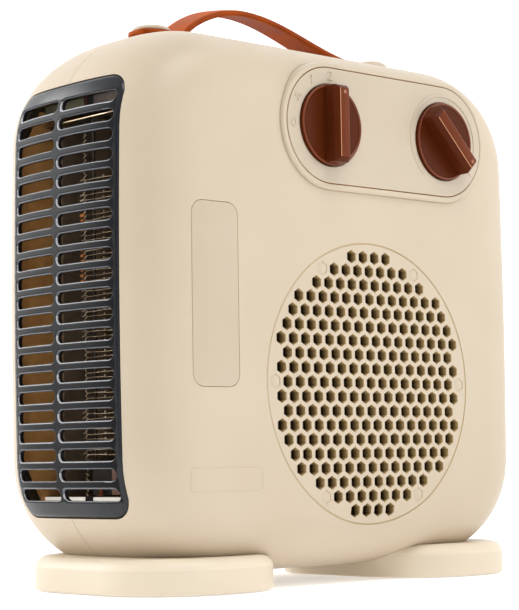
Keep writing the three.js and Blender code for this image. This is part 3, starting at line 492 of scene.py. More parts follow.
def rounded_rectangle(x0, y0, x1, y1, radius, corner_steps=6, longest=5.0):
    """A function of an outward offset that gives the outline's points, always the same number."""
    base_steps = [max(1, math.ceil((side - 2 * radius) / longest)) for side in (x1 - x0, y1 - y0)]

    def at(offset):
        r = max(radius + offset, 0.02)
        corners = (
            (x1 - radius, y0 + radius, -90), (x1 - radius, y1 - radius, 0),
            (x0 + radius, y1 - radius, 90), (x0 + radius, y0 + radius, 180),
        )
        made = []
        for i, (cx, cy, start) in enumerate(corners):
            curve = arc(cx, cy, r, start, start + 90, corner_steps)
            made += curve
            following = corners[(i + 1) % 4]
            nx, ny = arc(following[0], following[1], r, following[2], following[2], 1)[0]
            steps = base_steps[1] if i % 2 == 0 else base_steps[0]
            lx, ly = curve[-1]
            made += [(lx + (nx - lx) * k / steps, ly + (ny - ly) * k / steps) for k in range(1, steps)]
        return made

    return at


def slot_outline(near, far, low, high, radius, most, corner_steps=5, longest=4.0):
    """A rounded slot whose outward offset is held to a limit along its length."""
    plain = rounded_rectangle(near, low, far, high, radius, corner_steps, longest)
    middle = (near + far) / 2

    def at(offset):
        extra = max(0.0, offset - most)
        reach = (far - near) / 2 + offset
        share = (reach - extra) / reach
        return [(middle + (x - middle) * share, y) for x, y in plain(offset)]

    return at


def circle(x, y, radius, steps=96):
    return lambda offset: arc(x, y, radius + offset, 0, 360, steps)[:-1]


def hexagon(x, y, across_flats):
    """A hexagon that stands on a corner."""
    def at(offset):
        corner = (across_flats / 2 + offset) / math.cos(math.pi / 6)
        return arc(x, y, corner, 30, 330, 5)

    return at


def capsule(offset, steps=40, straight=24):
    """The control panel's outline: two half rounds about the knobs' axes joined by straight edges."""
    radius = PANEL_RADIUS + offset
    right = arc(THERMOSTAT_X, PANEL_Z, radius, -90, 90, steps)
    left = arc(FUNCTION_X, PANEL_Z, radius, 90, 270, steps)
    span = THERMOSTAT_X - FUNCTION_X
    top = [(THERMOSTAT_X - span * k / straight, PANEL_Z + radius) for k in range(1, straight)]
    bottom = [(FUNCTION_X + span * k / straight, PANEL_Z - radius) for k in range(1, straight)]
    return right + top + left + bottom


def prism(points, first, second, put):
    """A closed prism between two depths: put(u, v, depth) gives the place."""
    return loft([[put(u, v, depth) for u, v in points] for depth in (first, second)])


def across_face(u, v, depth):
    return (u, depth, v)


def across_side(u, v, depth):
    return (depth, u, v)


def across_top(u, v, depth):
    return (u, v, depth)


def inside(point, loop):
    x, y = point
    hit = False
    for i, (x0, y0) in enumerate(loop):
        x1, y1 = loop[i - 1]
        if (y0 > y) != (y1 > y) and x < (x1 - x0) * (y - y0) / (y1 - y0) + x0:
            hit = not hit
    return hit


def plate(outer, holes, surface, thickness, edge, hole_edge, marks=(), grid=0.0, steps=4):
    """Points and faces of a closed sheet on a surface, with rounded edges, holes and sunk marks.

    outer, holes and marks are functions of an outward offset; a mark comes with its (offset, depth)
    steps; surface(u, v, depth) gives the place.
    """
    hold = 0.12
    flat, loops, depths = [], [], []

    def add_loop(points, depth):
        start = len(flat)
        flat.extend(points)
        depths.extend([depth] * len(points))
        loops.append(list(range(start, len(flat))))

    add_loop(outer(-(edge + hold)), 0.0)
    for hole in holes:
        add_loop(hole(hole_edge + hold), 0.0)
    solid_loops = len(loops)
    for mark, profile in marks:
        for offset, depth in profile:
            add_loop(mark(offset), depth)
    outlines = [[flat[i] for i in loop] for loop in loops]
    extra = []
    if grid:
        us = [p[0] for p in outlines[0]]
        vs = [p[1] for p in outlines[0]]
        rows = int((max(vs) - min(vs)) / grid)
        columns = int((max(us) - min(us)) / grid)
        for row in range(1, rows + 1):
            for column in range(1, columns + 1):
                spot = (min(us) + column * grid + (row % 2) * grid / 2, min(vs) + row * grid)
                if not inside(spot, outlines[0]):
                    continue
                if any(math.dist(spot, p) < grid * 0.5 for loop in outlines for p in loop):
                    continue
                if any(inside(spot, loop) for loop in outlines[1:]):
                    continue
                extra.append(spot)
    all_flat = flat + extra
    all_depths = depths + [0.0] * len(extra)
    edges = [(loop[i], loop[(i + 1) % len(loop)]) for loop in loops for i in range(len(loop))]
    found, _, triangles, origins, _, _ = delaunay_2d_cdt([Vector(p) for p in all_flat], edges, [], 0, 1e-5)
    source = [origin[0] if origin else None for origin in origins]
    boxes = [
        (min(p[0] for p in loop), max(p[0] for p in loop), min(p[1] for p in loop), max(p[1] for p in loop))
        for loop in outlines[1:solid_loops]
    ]
    kept = []
    for triangle in triangles:
        middle = (sum(found[i][0] for i in triangle) / 3, sum(found[i][1] for i in triangle) / 3)
        if not inside(middle, outlines[0]):
            continue
        if any(
            b[0] < middle[0] < b[1] and b[2] < middle[1] < b[3] and inside(middle, loop)
            for b, loop in zip(boxes, outlines[1:solid_loops])
        ):
            continue
        kept.append(tuple(source[i] for i in triangle))
    count = len(all_flat)
    points = [surface(u, v, d) for (u, v), d in zip(all_flat, all_depths)]
    points += [surface(u, v, thickness) for u, v in all_flat]
    faces = kept + [tuple(i + count for i in reversed(face)) for face in kept]

    def wall(loop, outline, radius, sign):
        rings = [loop]
        for k in range(steps + 1):
            angle = math.pi / 2 * k / steps
            sunk = radius * (1 - math.cos(angle))
            ring = [surface(u, v, sunk) for u, v in outline(sign * radius * (1 - math.sin(angle)))]
            start = len(points)
            points.extend(ring)
            rings.append(list(range(start, len(points))))
        ring = [surface(u, v, thickness) for u, v in outline(0.0)]
        start = len(points)
        points.extend(ring)
        rings.append(list(range(start, len(points))))
        rings.append([i + count for i in loop])
        for first, second in zip(rings, rings[1:]):
            for i in range(len(first)):
                j = (i + 1) % len(first)
                faces.append((first[i], first[j], second[j], second[i]))

    wall(loops[0], outer, edge, -1)
    for loop, hole in zip(loops[1:solid_loops], holes):
        wall(loop, hole, hole_edge, 1)
    return points, faces


# ---------------------------------------------------------------------------
# Body surface
# ---------------------------------------------------------------------------
def edge_inset(share):
    return EDGE_WIDTH * (1 - (1 - min(1.0, abs(share)) ** EDGE_POWER) ** (1 / EDGE_POWER))


def inset_at(x, z):
    """How far a point of the front view lies inside the body's outline."""
    x, z = abs(x), abs(z)
    if z > CORNER_Z and x > CORNER_X and (x - SIDE_ARC_X) * CORNER_Z < z * (CORNER_X - SIDE_ARC_X):
        return CORNER_RADIUS - math.hypot(x - CORNER_X, z - CORNER_Z)
    if z > CORNER_Z and x <= CORNER_X:
        return HALF_HEIGHT - z
    return min(SIDE_BOW_RADIUS - math.hypot(x - SIDE_ARC_X, z), HALF_HEIGHT - z)


def face_y(x, z):
    """Y of the body's front skin at a point of the front view."""
    inset = max(0.0, min(EDGE_WIDTH, inset_at(x, z)))
    share = (1 - (1 - inset / EDGE_WIDTH) ** EDGE_POWER) ** (1 / EDGE_POWER)
    return -HALF_DEPTH * share


def side_x(y, z, proud=0.0):
    """X of the body's left skin at a point of the side view."""
    inset = edge_inset(y / HALF_DEPTH) - proud
    z = abs(z)
    tangent = CORNER_Z + CORNER_RADIUS * math.sin(SIDE_ANGLE)
    if z <= tangent:
        return -(SIDE_ARC_X + math.sqrt((SIDE_BOW_RADIUS - inset) ** 2 - z**2))
    return -(CORNER_X + math.sqrt(max(0.0, (CORNER_RADIUS - inset) ** 2 - (z - CORNER_Z) ** 2)))


def body_outline(inset, corner_steps=16, side_steps=6, flat_steps=10):
    """The body's outline in the front view at an inset, as (x, z) points."""
    side_angle = math.degrees(SIDE_ANGLE)
    half_side = arc(SIDE_ARC_X, 0, SIDE_BOW_RADIUS - inset, 0, side_angle, side_steps)[:-1]
    corner = arc(CORNER_X, CORNER_Z, CORNER_RADIUS - inset, side_angle, 90, corner_steps)
    flat = [(CORNER_X * (1 - k / flat_steps), HALF_HEIGHT - inset) for k in range(1, flat_steps)]
    quadrant = half_side + corner + flat
    upper_left = [(-x, z) for x, z in reversed(quadrant[1:])]
    top = [(0.0, HALF_HEIGHT - inset)]
    upper = quadrant + top + upper_left
    lower = [(-x, -z) for x, z in upper]
    return upper + lower


EDGE_STEPS = 26


def skin_shares():
    """Depth shares from the flat face, 1, to the seam, 0, even in the edge's turning."""
    made = []
    for step in range(EDGE_STEPS + 1):
        angle = math.pi / 2 * (1 - step / EDGE_STEPS)
        made.append(math.sin(angle) ** (2 / EDGE_POWER))
    return made


def half_shell(side):
    """A half of the casing: outer skin, eased seam edge and inner skin."""
    seam_ease = 0.16
    rings = []
    for share in skin_shares():
        y = max(share * HALF_DEPTH, HALF_SEAM + seam_ease)
        rings.append([(x, side * y, z) for x, z in body_outline(edge_inset(share))])
    rings.append([(x, side * HALF_SEAM, z) for x, z in body_outline(seam_ease)])
    rings.append([(x, side * HALF_SEAM, z) for x, z in body_outline(WALL)])
    for share in reversed(skin_shares()):
        y = max(share * (HALF_DEPTH - WALL), HALF_SEAM + seam_ease)
        rings.append([(x, side * y, z) for x, z in body_outline(edge_inset(share) + WALL)])
    return loft(rings)


def whole_body(grow):
    """The closed body, grown all round."""
    rings = []
    for side in (-1, 1):
        shares = skin_shares()[::2] if side < 0 else skin_shares()[::2][::-1][1:]
        for share in shares:
            y = side * share * (HALF_DEPTH + grow)
            rings.append([(x, y, z) for x, z in body_outline(edge_inset(share) - grow)])
    return loft(rings)


OUTLET = rounded_rectangle(
    -OUTLET_FRONT, -OUTLET_HALF_HEIGHT, OUTLET_REAR, OUTLET_HALF_HEIGHT, OUTLET_CORNER, 8, 6.0
)
label_low, label_high = box_mm("label_plate")
LABEL_CORNER = 5.5
LABEL_GAP = 0.2
LABEL = rounded_rectangle(label_low.x, label_low.z, label_high.x, label_high.z, LABEL_CORNER, 12, 4.0)
PIECE_GAP = 0.35
INTAKE_GAP = 0.55
CREST_END = 2.0
SURROUND_RUN = 1.0
SURROUND_GAP = 0.16
SKIN_OUTSIDE = -3.0
LABEL_POCKET_DEPTH = 0.9
EASE = 0.3
# Depth spans that pass right through one skin
FACE_CUT = (-70, -40)
BACK_CUT = (40, 70)
OUTLET_CUT = (-130, -90)

front = new_piece("front_shell_skin", *half_shell(-1), CREAM, slot="cream_plastic")
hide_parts("front_shell")
label_pocket = plate(
    lambda offset: LABEL(offset + LABEL_GAP),
    [],
    lambda u, v, depth: (u, face_y(u, v) + (LABEL_POCKET_DEPTH if depth > 1 else SKIN_OUTSIDE), v),
    2.0, 0.01, 0.01, grid=6.0, steps=1,
)
cut(
    front,
    [
        prism(circle(INTAKE_X, INTAKE_Z, INTAKE_RADIUS, INTAKE_STEPS)(INTAKE_GAP), *FACE_CUT, across_face),
        prism(capsule(CREST_END + SURROUND_RUN + SURROUND_GAP), *FACE_CUT, across_face),
        prism(OUTLET(PIECE_GAP), *OUTLET_CUT, across_side),
        label_pocket,
    ],
    bevel_mm=EASE,
)

VENT_ROWS = 7
VENT_FIELD_RADIUS = 36.0
VENT_PITCH = 9.0
VENT_HALF = 2.0
VENT_CORNER = 1.9
VENT_BRIDGE_HALF = 1.5
SCREW_PLACES = ((-66, 104), (92, 86), (92, -86), (-66, -104))
SCREW_HOLE_RADIUS = 1.9
TUBE_BORE_RADIUS = 4.0
TUBE_RADIUS = 5.6
TUBE_START_Y = 0.5
TUBE_FLOOR_Y = 20.0
INLET_HOLE_RADIUS = 6.3
inlet_low, inlet_high = box_mm("cord_inlet")
INLET_X = (inlet_low.x + inlet_high.x) / 2
INLET_Z = (inlet_low.z + inlet_high.z) / 2

rear = new_piece("rear_shell_skin", *half_shell(1), CREAM, slot="cream_plastic")
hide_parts("rear_shell")
openings = [prism(OUTLET(PIECE_GAP), *OUTLET_CUT, across_side)]
for row in range(VENT_ROWS):
    height = (row - (VENT_ROWS - 1) / 2) * VENT_PITCH
    reach = math.sqrt(VENT_FIELD_RADIUS**2 - height**2)
    z = INTAKE_Z + height
    for near, far in ((-reach, -VENT_BRIDGE_HALF), (VENT_BRIDGE_HALF, reach)):
        corners = (INTAKE_X + near, z - VENT_HALF, INTAKE_X + far, z + VENT_HALF)
        openings.append(prism(rounded_rectangle(*corners, VENT_CORNER, 5, 40)(0), *BACK_CUT, across_face))
for x, z in SCREW_PLACES:
    openings.append(prism(circle(x, z, TUBE_BORE_RADIUS, 32)(0), TUBE_FLOOR_Y + 1, BACK_CUT[1], across_face))
openings.append(prism(circle(INLET_X, INLET_Z, INLET_HOLE_RADIUS, 40)(0), *BACK_CUT, across_face))
cut(rear, [joined(openings)], bevel_mm=EASE)

# Tongue inside the seam, so that the gap between the halves shows cream and not the inside
TONGUE_PROFILE = ((0.16, -1.2), (0.16, 1.2), (2.0, 1.2), (2.0, -1.2))
tongue_rings = [[(x, y, z) for x, z in body_outline(inset)] for inset, y in TONGUE_PROFILE]
tongue = new_piece("seam_tongue", *loft(tongue_rings, around=True), CREAM, slot="cream_plastic")
cut(tongue, [prism(OUTLET(PIECE_GAP), *OUTLET_CUT, across_side)])

# Screw tubes behind the rear skin, each with a floor that the screw head rests on
tubes = []
for x, z in SCREW_PLACES:
    top = -face_y(x, z) - 1.0
    profile = (
        (SCREW_HOLE_RADIUS, TUBE_START_Y), (TUBE_RADIUS, TUBE_START_Y), (TUBE_RADIUS, top),
        (TUBE_BORE_RADIUS, top), (TUBE_BORE_RADIUS, TUBE_FLOOR_Y), (SCREW_HOLE_RADIUS, TUBE_FLOOR_Y),
    )
    rings = [[(px, y, pz) for px, pz in circle(x, z, r, 32)(0)] for r, y in profile]
    tubes.append(loft(rings, around=True))
new_piece("rear_screw_tubes", *joined(tubes), CREAM, slot="cream_plastic")


# ---------------------------------------------------------------------------
# Raised border round the control panel, faired into the body's skin
# ---------------------------------------------------------------------------
SURROUND_DEPTH = 4.6
SURROUND_INNER = 0.4
SURROUND_EASE = 0.35


def panel_surround():
    """The border: an eased inner edge, a flat crest, a fairing run out to the skin and a flange behind it."""
    top = PANEL_FRONT + 0.1
    inner, ease = SURROUND_INNER, SURROUND_EASE
    profile = [(inner, SURROUND_DEPTH), (inner, ease)]
    for degrees in (30, 60, 90):
        angle = math.radians(degrees)
        profile.append((inner + ease * (1 - math.cos(angle)), ease * (1 - math.sin(angle))))
    profile.append((CREST_END, 0.0))
    rings = [[(x, top + depth, z) for x, z in capsule(offset)] for offset, depth in profile]
    steps = 10
    for step in range(1, steps + 1):
        angle = math.pi / 2 * step / steps
        ring = []
        for x, z in capsule(CREST_END + SURROUND_RUN * math.sin(angle)):
            drop = face_y(x, z) - top
            ring.append((x, top + drop * (1 - math.cos(angle)), z))
        rings.append(ring)
    end = CREST_END + SURROUND_RUN
    flange = end + 0.8
    for offset, depth in ((end, 0.45), (flange, 0.45), (flange, 1.4)):
        rings.append([(x, face_y(x, z) + depth, z) for x, z in capsule(offset)])
    rings.append([(x, top + SURROUND_DEPTH, z) for x, z in capsule(CREST_END)])
    return loft(rings, around=True)


new_piece("control_panel_surround", *panel_surround(), CREAM, sharp=60, slot="cream_plastic")

# ---------------------------------------------------------------------------
# Control panel, its marks and wells
# ---------------------------------------------------------------------------
WELLS = [circle(x, PANEL_Z, KNOB_WELL, 96) for x in (FUNCTION_X, THERMOSTAT_X)]
panel_parts = [
    plate(capsule, WELLS, lambda u, v, depth: (u, PANEL_FRONT + depth, v), PANEL_THICKNESS, 0.35, 0.4)
]
for x in (FUNCTION_X, THERMOSTAT_X):
    rings = []
    for radius, depth in (
        (SPINDLE_HOLE, WELL_FLOOR), (KNOB_WELL + 0.3, WELL_FLOOR),
        (KNOB_WELL + 0.3, WELL_FLOOR + WELL_WALL), (SPINDLE_HOLE, WELL_FLOOR + WELL_WALL),
    ):
        rings.append([(px, PANEL_FRONT + depth, pz) for px, pz in circle(x, PANEL_Z, radius, 64)(0)])
    panel_parts.append(loft(rings, around=True))
panel = new_piece("control_panel_face", *joined(panel_parts), CREAM_PANEL, slot="cream_plastic")
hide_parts("control_panel")


def seat_ring(outline, surface, inner, outer, depth, thickness=1.2):
    """A ledge under a gap: a band that follows an outline, sunk below a surface."""
    profile = ((inner, depth), (outer, depth), (outer, depth + thickness), (inner, depth + thickness))
    return loft([[surface(u, v, sunk) for u, v in outline(offset)] for offset, sunk in profile], around=True)


def on_panel(u, v, depth):
    return (u, PANEL_FRONT + depth, v)


def on_face(u, v, depth):
    return (u, face_y(u, v) + depth, v)


# Ledge under the gap round the panel, in golden brown: painted shade for the gap line
new_piece(
    "control_panel_seat", *seat_ring(capsule, on_panel, -0.3, 0.9, 0.6), PANEL_SEAT_PAINTED_SHADE, slot="cream_plastic"
)


def on_dial(x, radius, degrees, across, along):
    """A point near a dial: across and along are measured at the mark, which stands upright."""
    angle = math.radians(degrees)
    return (x + radius * math.sin(angle) + across, PANEL_Z + radius * math.cos(angle) + along)


def raised_stroke(path, width, height, closed=False):
    """A low ridge with sloping sides along a path of (x, z) points on the panel."""
    count = len(path)
    rings = []
    for i, (x, z) in enumerate(path):
        before = path[i - 1] if closed or i > 0 else path[i]
        after = path[(i + 1) % count] if closed or i + 1 < count else path[i]
        along = Vector((after[0] - before[0], after[1] - before[1])).normalized()
        side = Vector((-along.y, along.x)) * width / 2
        ring = []
        for share, rise in ((-1, -0.1), (-0.55, height), (0.55, height), (1, -0.1)):
            ring.append((x + side.x * share, PANEL_FRONT - rise, z + side.y * share))
        rings.append(ring)
    return loft(rings, ends=not closed, around=closed)


MARK_RADIUS = 21.9
MARK_HALF = 1.9
STROKE = 0.62
RELIEF = 0.3


def mark_path(degrees, path):
    """A mark's points, given about the mark's own centre, at an angle round the function knob."""
    return [on_dial(FUNCTION_X, MARK_RADIUS, degrees, across, along) for across, along in path]


WEDGE_INNER = 20.6
WEDGE_START = -140
WEDGE_END = 128
WEDGE_STEPS = 60
WEDGE_EASE = 0.15


def dial_marks():
    """Figures and signs round the function knob, and a wedge round the thermostat's."""
    # The figure 2
    two = arc(0, 0.8, 1.15, 165, -40, 9) + [(-1.25, -MARK_HALF), (1.35, -MARK_HALF)]
    parts = [raised_stroke(mark_path(0, two), STROKE, RELIEF)]
    # The figure 1
    one = ((-0.8, 1.1), (0.1, MARK_HALF), (0.1, -MARK_HALF))
    parts.append(raised_stroke(mark_path(-30, one), STROKE, RELIEF))
    # The fan: three curved blades
    for turn in (0, 120, 240):
        c, s = math.cos(math.radians(turn)), math.sin(math.radians(turn))
        blade = [(px * c - pz * s, px * s + pz * c) for px, pz in arc(1.05, 0.4, 0.85, 200, -30, 7)]
        parts.append(raised_stroke(mark_path(-61, blade), STROKE * 0.85, RELIEF))
    # Off: a tall ring
    ring = [(px, pz * 1.35) for px, pz in arc(0, 0, 1.35, 0, 360, 20)[:-1]]
    parts.append(raised_stroke(mark_path(-92, ring), STROKE, RELIEF, closed=True))
    # The wedge, which widens clockwise
    rings = []
    for step in range(WEDGE_STEPS + 1):
        share = step / WEDGE_STEPS
        degrees = WEDGE_START + (WEDGE_END - WEDGE_START) * share
        width = 0.7 + 2.3 * share
        ring = []
        for offset, rise in ((0, -0.1), (WEDGE_EASE, RELIEF), (width - WEDGE_EASE, RELIEF), (width, -0.1)):
            px, pz = on_dial(THERMOSTAT_X, WEDGE_INNER + offset, degrees, 0, 0)
            ring.append((px, PANEL_FRONT - rise, pz))
        rings.append(ring)
    parts.append(loft(rings))
    return joined(parts)


new_piece("dial_marks", *dial_marks(), CREAM_PANEL, sharp=50, slot="cream_plastic")

# ---------------------------------------------------------------------------
# Label plate and the moulded frame of the notice
# ---------------------------------------------------------------------------
label = new_piece(
    "label_plate_face",
    *plate(LABEL, [], lambda u, v, depth: (u, face_y(u, v) - 0.1 + depth, v), 0.9, 0.3, 0.1, grid=5.0),
    CREAM_LABEL,
    slot="cream_plastic",
)
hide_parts("label_plate")


NOTICE_LOW = (-93.2, -80.9)
NOTICE_HIGH = (-55.1, -71.2)
NOTICE_CORNER = 2.2


def notice_frame():
    """A fine moulded ridge in a rounded rectangle, low on the left of the face."""
    outline = rounded_rectangle(*NOTICE_LOW, *NOTICE_HIGH, NOTICE_CORNER, 6, 2.0)
    rings = []
    for offset, rise in ((-0.3, -0.1), (-0.14, 0.14), (0.14, 0.14), (0.3, -0.1)):
        rings.append([(x, face_y(x, z) - rise, z) for x, z in outline(offset)])
    return loft(rings, around=True)


new_piece("notice_frame", *notice_frame(), CREAM, sharp=60, slot="cream_plastic")


# ---------------------------------------------------------------------------
# Air intake
# ---------------------------------------------------------------------------
def hex_centres():
    for row, count in enumerate(HEX_ROWS):
        z = INTAKE_Z + ((len(HEX_ROWS) - 1) / 2 - row) * HEX_PITCH * math.sin(math.pi / 3)
        for i in range(count):
            yield INTAKE_X + (i - (count - 1) / 2) * HEX_PITCH, z


CELL_DEPTH = 5.0
blind = []
for degrees in range(0, 360, 60):
    x = INTAKE_X + BLIND_RADIUS * math.cos(math.radians(degrees))
    z = INTAKE_Z + BLIND_RADIUS * math.sin(math.radians(degrees))
    blind.append((hexagon(x, z, HEX_ACROSS_FLATS - 0.3), ((0.3, 0.0), (0.1, 0.4), (-0.15, 0.3))))
intake = new_piece(
    "intake_grille_face",
    *plate(
        circle(INTAKE_X, INTAKE_Z, INTAKE_RADIUS, INTAKE_STEPS),
        [hexagon(x, z, HEX_ACROSS_FLATS) for x, z in hex_centres()],
        on_face,
        CELL_DEPTH, 0.5, 0.07, marks=blind, steps=3,
    ),
    [CREAM, CELL_WALL_PAINTED_SHADE],
    slot="cream_plastic",
)
# Cell walls and the faces behind the face take the wall finish, whose darkening inwards is painted shade
for face in intake.data.polygons:
    spot = (face.center - CENTRE) / MM
    from_axis = math.hypot(spot.x - INTAKE_X, spot.z - INTAKE_Z)
    if from_axis < INTAKE_RADIUS - 1 and spot.y - face_y(spot.x, spot.z) > 0.3 and face.area > 0.3 * MM * MM:
        if abs(face.normal.y) < 0.5 or face.normal.y > 0.5:
            face.material_index = 1
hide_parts("intake_grille")
new_piece(
    "intake_seat",
    *seat_ring(circle(INTAKE_X, INTAKE_Z, INTAKE_RADIUS, INTAKE_STEPS), on_face, -0.5, 1.2, 0.3),
    CREAM_SEAT_PAINTED_SHADE,
    slot="cream_plastic",
)

# ---------------------------------------------------------------------------
# Air outlet
# ---------------------------------------------------------------------------
slots = []
for row in range(SLOT_COUNT):
    z = (row - (SLOT_COUNT - 1) / 2) * SLOT_PITCH
    for near, far in ((-SLOT_FRONT, BAR_Y - CENTRE_BAR / 2), (BAR_Y + CENTRE_BAR / 2, SLOT_REAR)):
        low, high = z - SLOT_HEIGHT / 2, z + SLOT_HEIGHT / 2
        slots.append(slot_outline(near, far, low, high, SLOT_CORNER, SLOT_STRETCH))
outlet = new_piece(
    "outlet_grille_face",
    *plate(
        OUTLET, slots, lambda u, v, depth: (side_x(u, v, GRILLE_PROUD) + depth, u, v),
        GRILLE_THICKNESS, GRILLE_EDGE, SLOT_EDGE, steps=6,
    ),
    [SLATE, SLATE_RIM_PAINTED_LIGHT, SLATE_BAR_PAINTED_SHADE, SLATE_PAINTED_HIGHLIGHT],
    slot="slate_plastic",
)
# Among the slots, the flat bar fronts are matt and take a darker copy of the slate, painted shade; the
# rounded rims take a lighter copy, painted light, and a near-white one, a painted highlight, on the slots'
# lower sides and rear ends
for face in outlet.data.polygons:
    spot = (face.center - CENTRE) / MM
    if not -SLOT_FRONT - RIM_REACH < spot.y < SLOT_REAR + RIM_REACH or abs(spot.z) > SLOT_FIELD:
        continue
    if 0.1 < -face.normal.x < 0.85:
        painted_highlight = face.normal.z > 0.25 or (face.normal.y < -0.25 and face.normal.z > -0.25)
        face.material_index = 3 if painted_highlight else 1
    elif -face.normal.x >= 0.85:
        face.material_index = 2
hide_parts("outlet_grille")


# ---------------------------------------------------------------------------
# Heating element, seen through the outlet
# ---------------------------------------------------------------------------
WIRE_X = -100.6
WIRE_PITCH = 2.17
WIRE_TOP_Z = 52.0
WIRE_BOTTOM_Z = -67.0
LEAD_Y = 4.3
LEAD_SWING = 0.95
LEAD_RADIUS = 0.27
LEAD_BOTTOM_Z = -83.0
WIRE_END_Y = -33.0
PASS_STEPS = 8
PASS_WAVE = 0.16
DOT_SPAN_Y = (-8.9, -9.6)
END_Y = 7.6
CROSS_X = Vector((1.0, 0.0, 0.0))


def wire(path, radius, sides=6):
    """A round wire along an open path that stays in a plane across X."""
    rings = []
    for i, point in enumerate(path):
        along = (path[min(i + 1, len(path) - 1)] - path[max(i - 1, 0)]).normalized()
        side = along.cross(CROSS_X).normalized()
        ring = []
        for k in range(sides):
            angle = 2 * math.pi * k / sides
            ring.append(tuple(point + (CROSS_X * math.cos(angle) + side * math.sin(angle)) * radius))
        rings.append(ring)
    return loft(rings)


def brick(x0, x1, y0, y1, z0, z1, ease):
    """A box with chamfered edges along its length in Y."""
    outline = [(x0 + ease, z0), (x1 - ease, z0), (x1, z0 + ease), (x1, z1 - ease),
               (x1 - ease, z1), (x0 + ease, z1), (x0, z1 - ease), (x0, z0 + ease)]
    return prism(outline, y0, y1, across_face)


def lead_path():
    """The scalloped lead: cusps where the level passes leave it, bulging away between them."""
    path = []
    level = WIRE_TOP_Z + 10 * WIRE_PITCH
    while level > LEAD_BOTTOM_Z:
        for share, swing in ((0.0, -1.0), (0.18, 0.1), (0.5, 1.0), (0.82, 0.1)):
            path.append(Vector((WIRE_X, LEAD_Y + LEAD_SWING * swing, level - WIRE_PITCH * share)))
        level -= WIRE_PITCH
    return path


passes, dots, pale_ends, amber_ends = [], [], [], []
level = WIRE_TOP_Z
count = 0
while level > WIRE_BOTTOM_Z:
    start = LEAD_Y - LEAD_SWING
    path = []
    for k in range(PASS_STEPS):
        y = start + (WIRE_END_Y - start) * k / (PASS_STEPS - 1)
        path.append(Vector((WIRE_X, y, level + PASS_WAVE * math.sin(1.3 * k + 2.1 * count))))
    passes.append(wire(path, 0.12 if count % 2 else 0.17))
    dots.append(wire([Vector((WIRE_X - 0.5, y, level + 0.5)) for y in DOT_SPAN_Y], 0.3))
    slots_down = (WIRE_TOP_Z - level) / SLOT_PITCH
    reach = 1.5 if slots_down < 2 else 1.1
    end = [Vector((WIRE_X + 1, END_Y + side * reach, level + rise)) for side, rise in ((1, 0.4), (-1, 0.75))]
    if 1.75 < slots_down < 2.7 or 3.7 < slots_down < 5.6:
        amber_ends.append(wire(end, 0.75 if count % 2 else 0.5, 8))
    elif slots_down < 9.0 or slots_down > 12.0:
        pale_ends.append(wire(end, 0.42 if slots_down < 2 else 0.22))
    level -= WIRE_PITCH
    count += 1
winding = [wire(lead_path(), LEAD_RADIUS)] + passes + dots + pale_ends
heating_wire = new_piece("heating_wire_winding", *joined(winding), HEAT_WIRE, slot="steel")
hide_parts("heating_wire_front")
new_piece("heating_wire_beads", *joined(amber_ends), AMBER_BEAD, slot="white_ceramic")

# Insulating cards, strips and gaskets round the winding: name, X, Y and Z spans, chamfer, finish and slot
card_low, card_high = box_mm("mica_rear_side")
EDGE_X = (card_low.x - 3.4, card_low.x - 0.05)
FRAME_X = (-100.0, -98.4)
LOWER_X = (-99.9, -99.5)
TALL_Z = (-82.0, 78.0)
GASKET_Z = (82.0, 88.2)
LOWER_Z = (-82.0, -68.4)
for name, xs, ys, zs, ease, material, slot in (
    ("divider_card", (-100.5, -78.0), (20.9, 21.5), TALL_Z, 0.2, MICA_PALE, "mica"),
    ("edge_strip", EDGE_X, (card_low.y, card_high.y), (-71.0, 71.0), 0.2, MICA, "mica"),
    ("centre_edge", (-99.6, -99.1), (-0.7, 0.7), TALL_Z, 0.1, DUCT_AND_SHADE, "mica"),
    ("top_edge", (-101.0, -100.3), (-34.0, 34.0), (78.8, 79.35), 0.1, HEAT_WIRE, "steel"),
    ("gasket_rear", FRAME_X, (5.2, 34.0), GASKET_Z, 0.15, GASKET_OLIVE, "mica"),
    ("sleeve", (-100.3, -98.4), (2.5, 5.2), GASKET_Z, 0.15, SLEEVE_RED, "mica"),
    ("gap_block", FRAME_X, (-1.3, 2.5), GASKET_Z, 0.15, BLACK, "black_plastic"),
    ("gasket_front", FRAME_X, (-34.0, -1.3), GASKET_Z, 0.15, GASKET_PINK, "mica"),
    # The lower card takes the near-black inner finish: painted shade over a mica card
    ("lower_card", LOWER_X, (-11.4, 1.6), LOWER_Z, 0.1, DUCT_AND_SHADE, "mica"),
    ("lower_amber", LOWER_X, (-33.0, -11.6), LOWER_Z, 0.1, MICA_BROWN, "mica"),
    ("ledge", (-101.4, -99.0), (-33.5, 34.0), (-84.5, -83.0), 0.15, LEDGE_PAINTED_LIGHT, "white_ceramic"),
    ("ledge_clip", (-102.0, -98.6), (-0.6, 4.2), (-85.0, -82.8), 0.15, DUCT_AND_SHADE, "black_plastic"),
):
    new_piece("element_" + name, *brick(*xs, *ys, *zs, ease), material, slot=slot)
COIL_Y = -5.7
COIL_TOP_Z = -79.4
coil_turns = [
    Vector((WIRE_X - 0.6, COIL_Y + 1.2 * math.cos(k * 0.9), COIL_TOP_Z - 0.09 * k)) for k in range(38)
]
new_piece("element_cutout_coil", *wire(coil_turns, 0.3), COPPER, slot="copper_winding")

# ---------------------------------------------------------------------------
# Feet
# ---------------------------------------------------------------------------
FOOT_CORNER = 38.4
FOOT_ROUNDING = 5.5
FOOT_UNDER_ROUNDING = 0.9


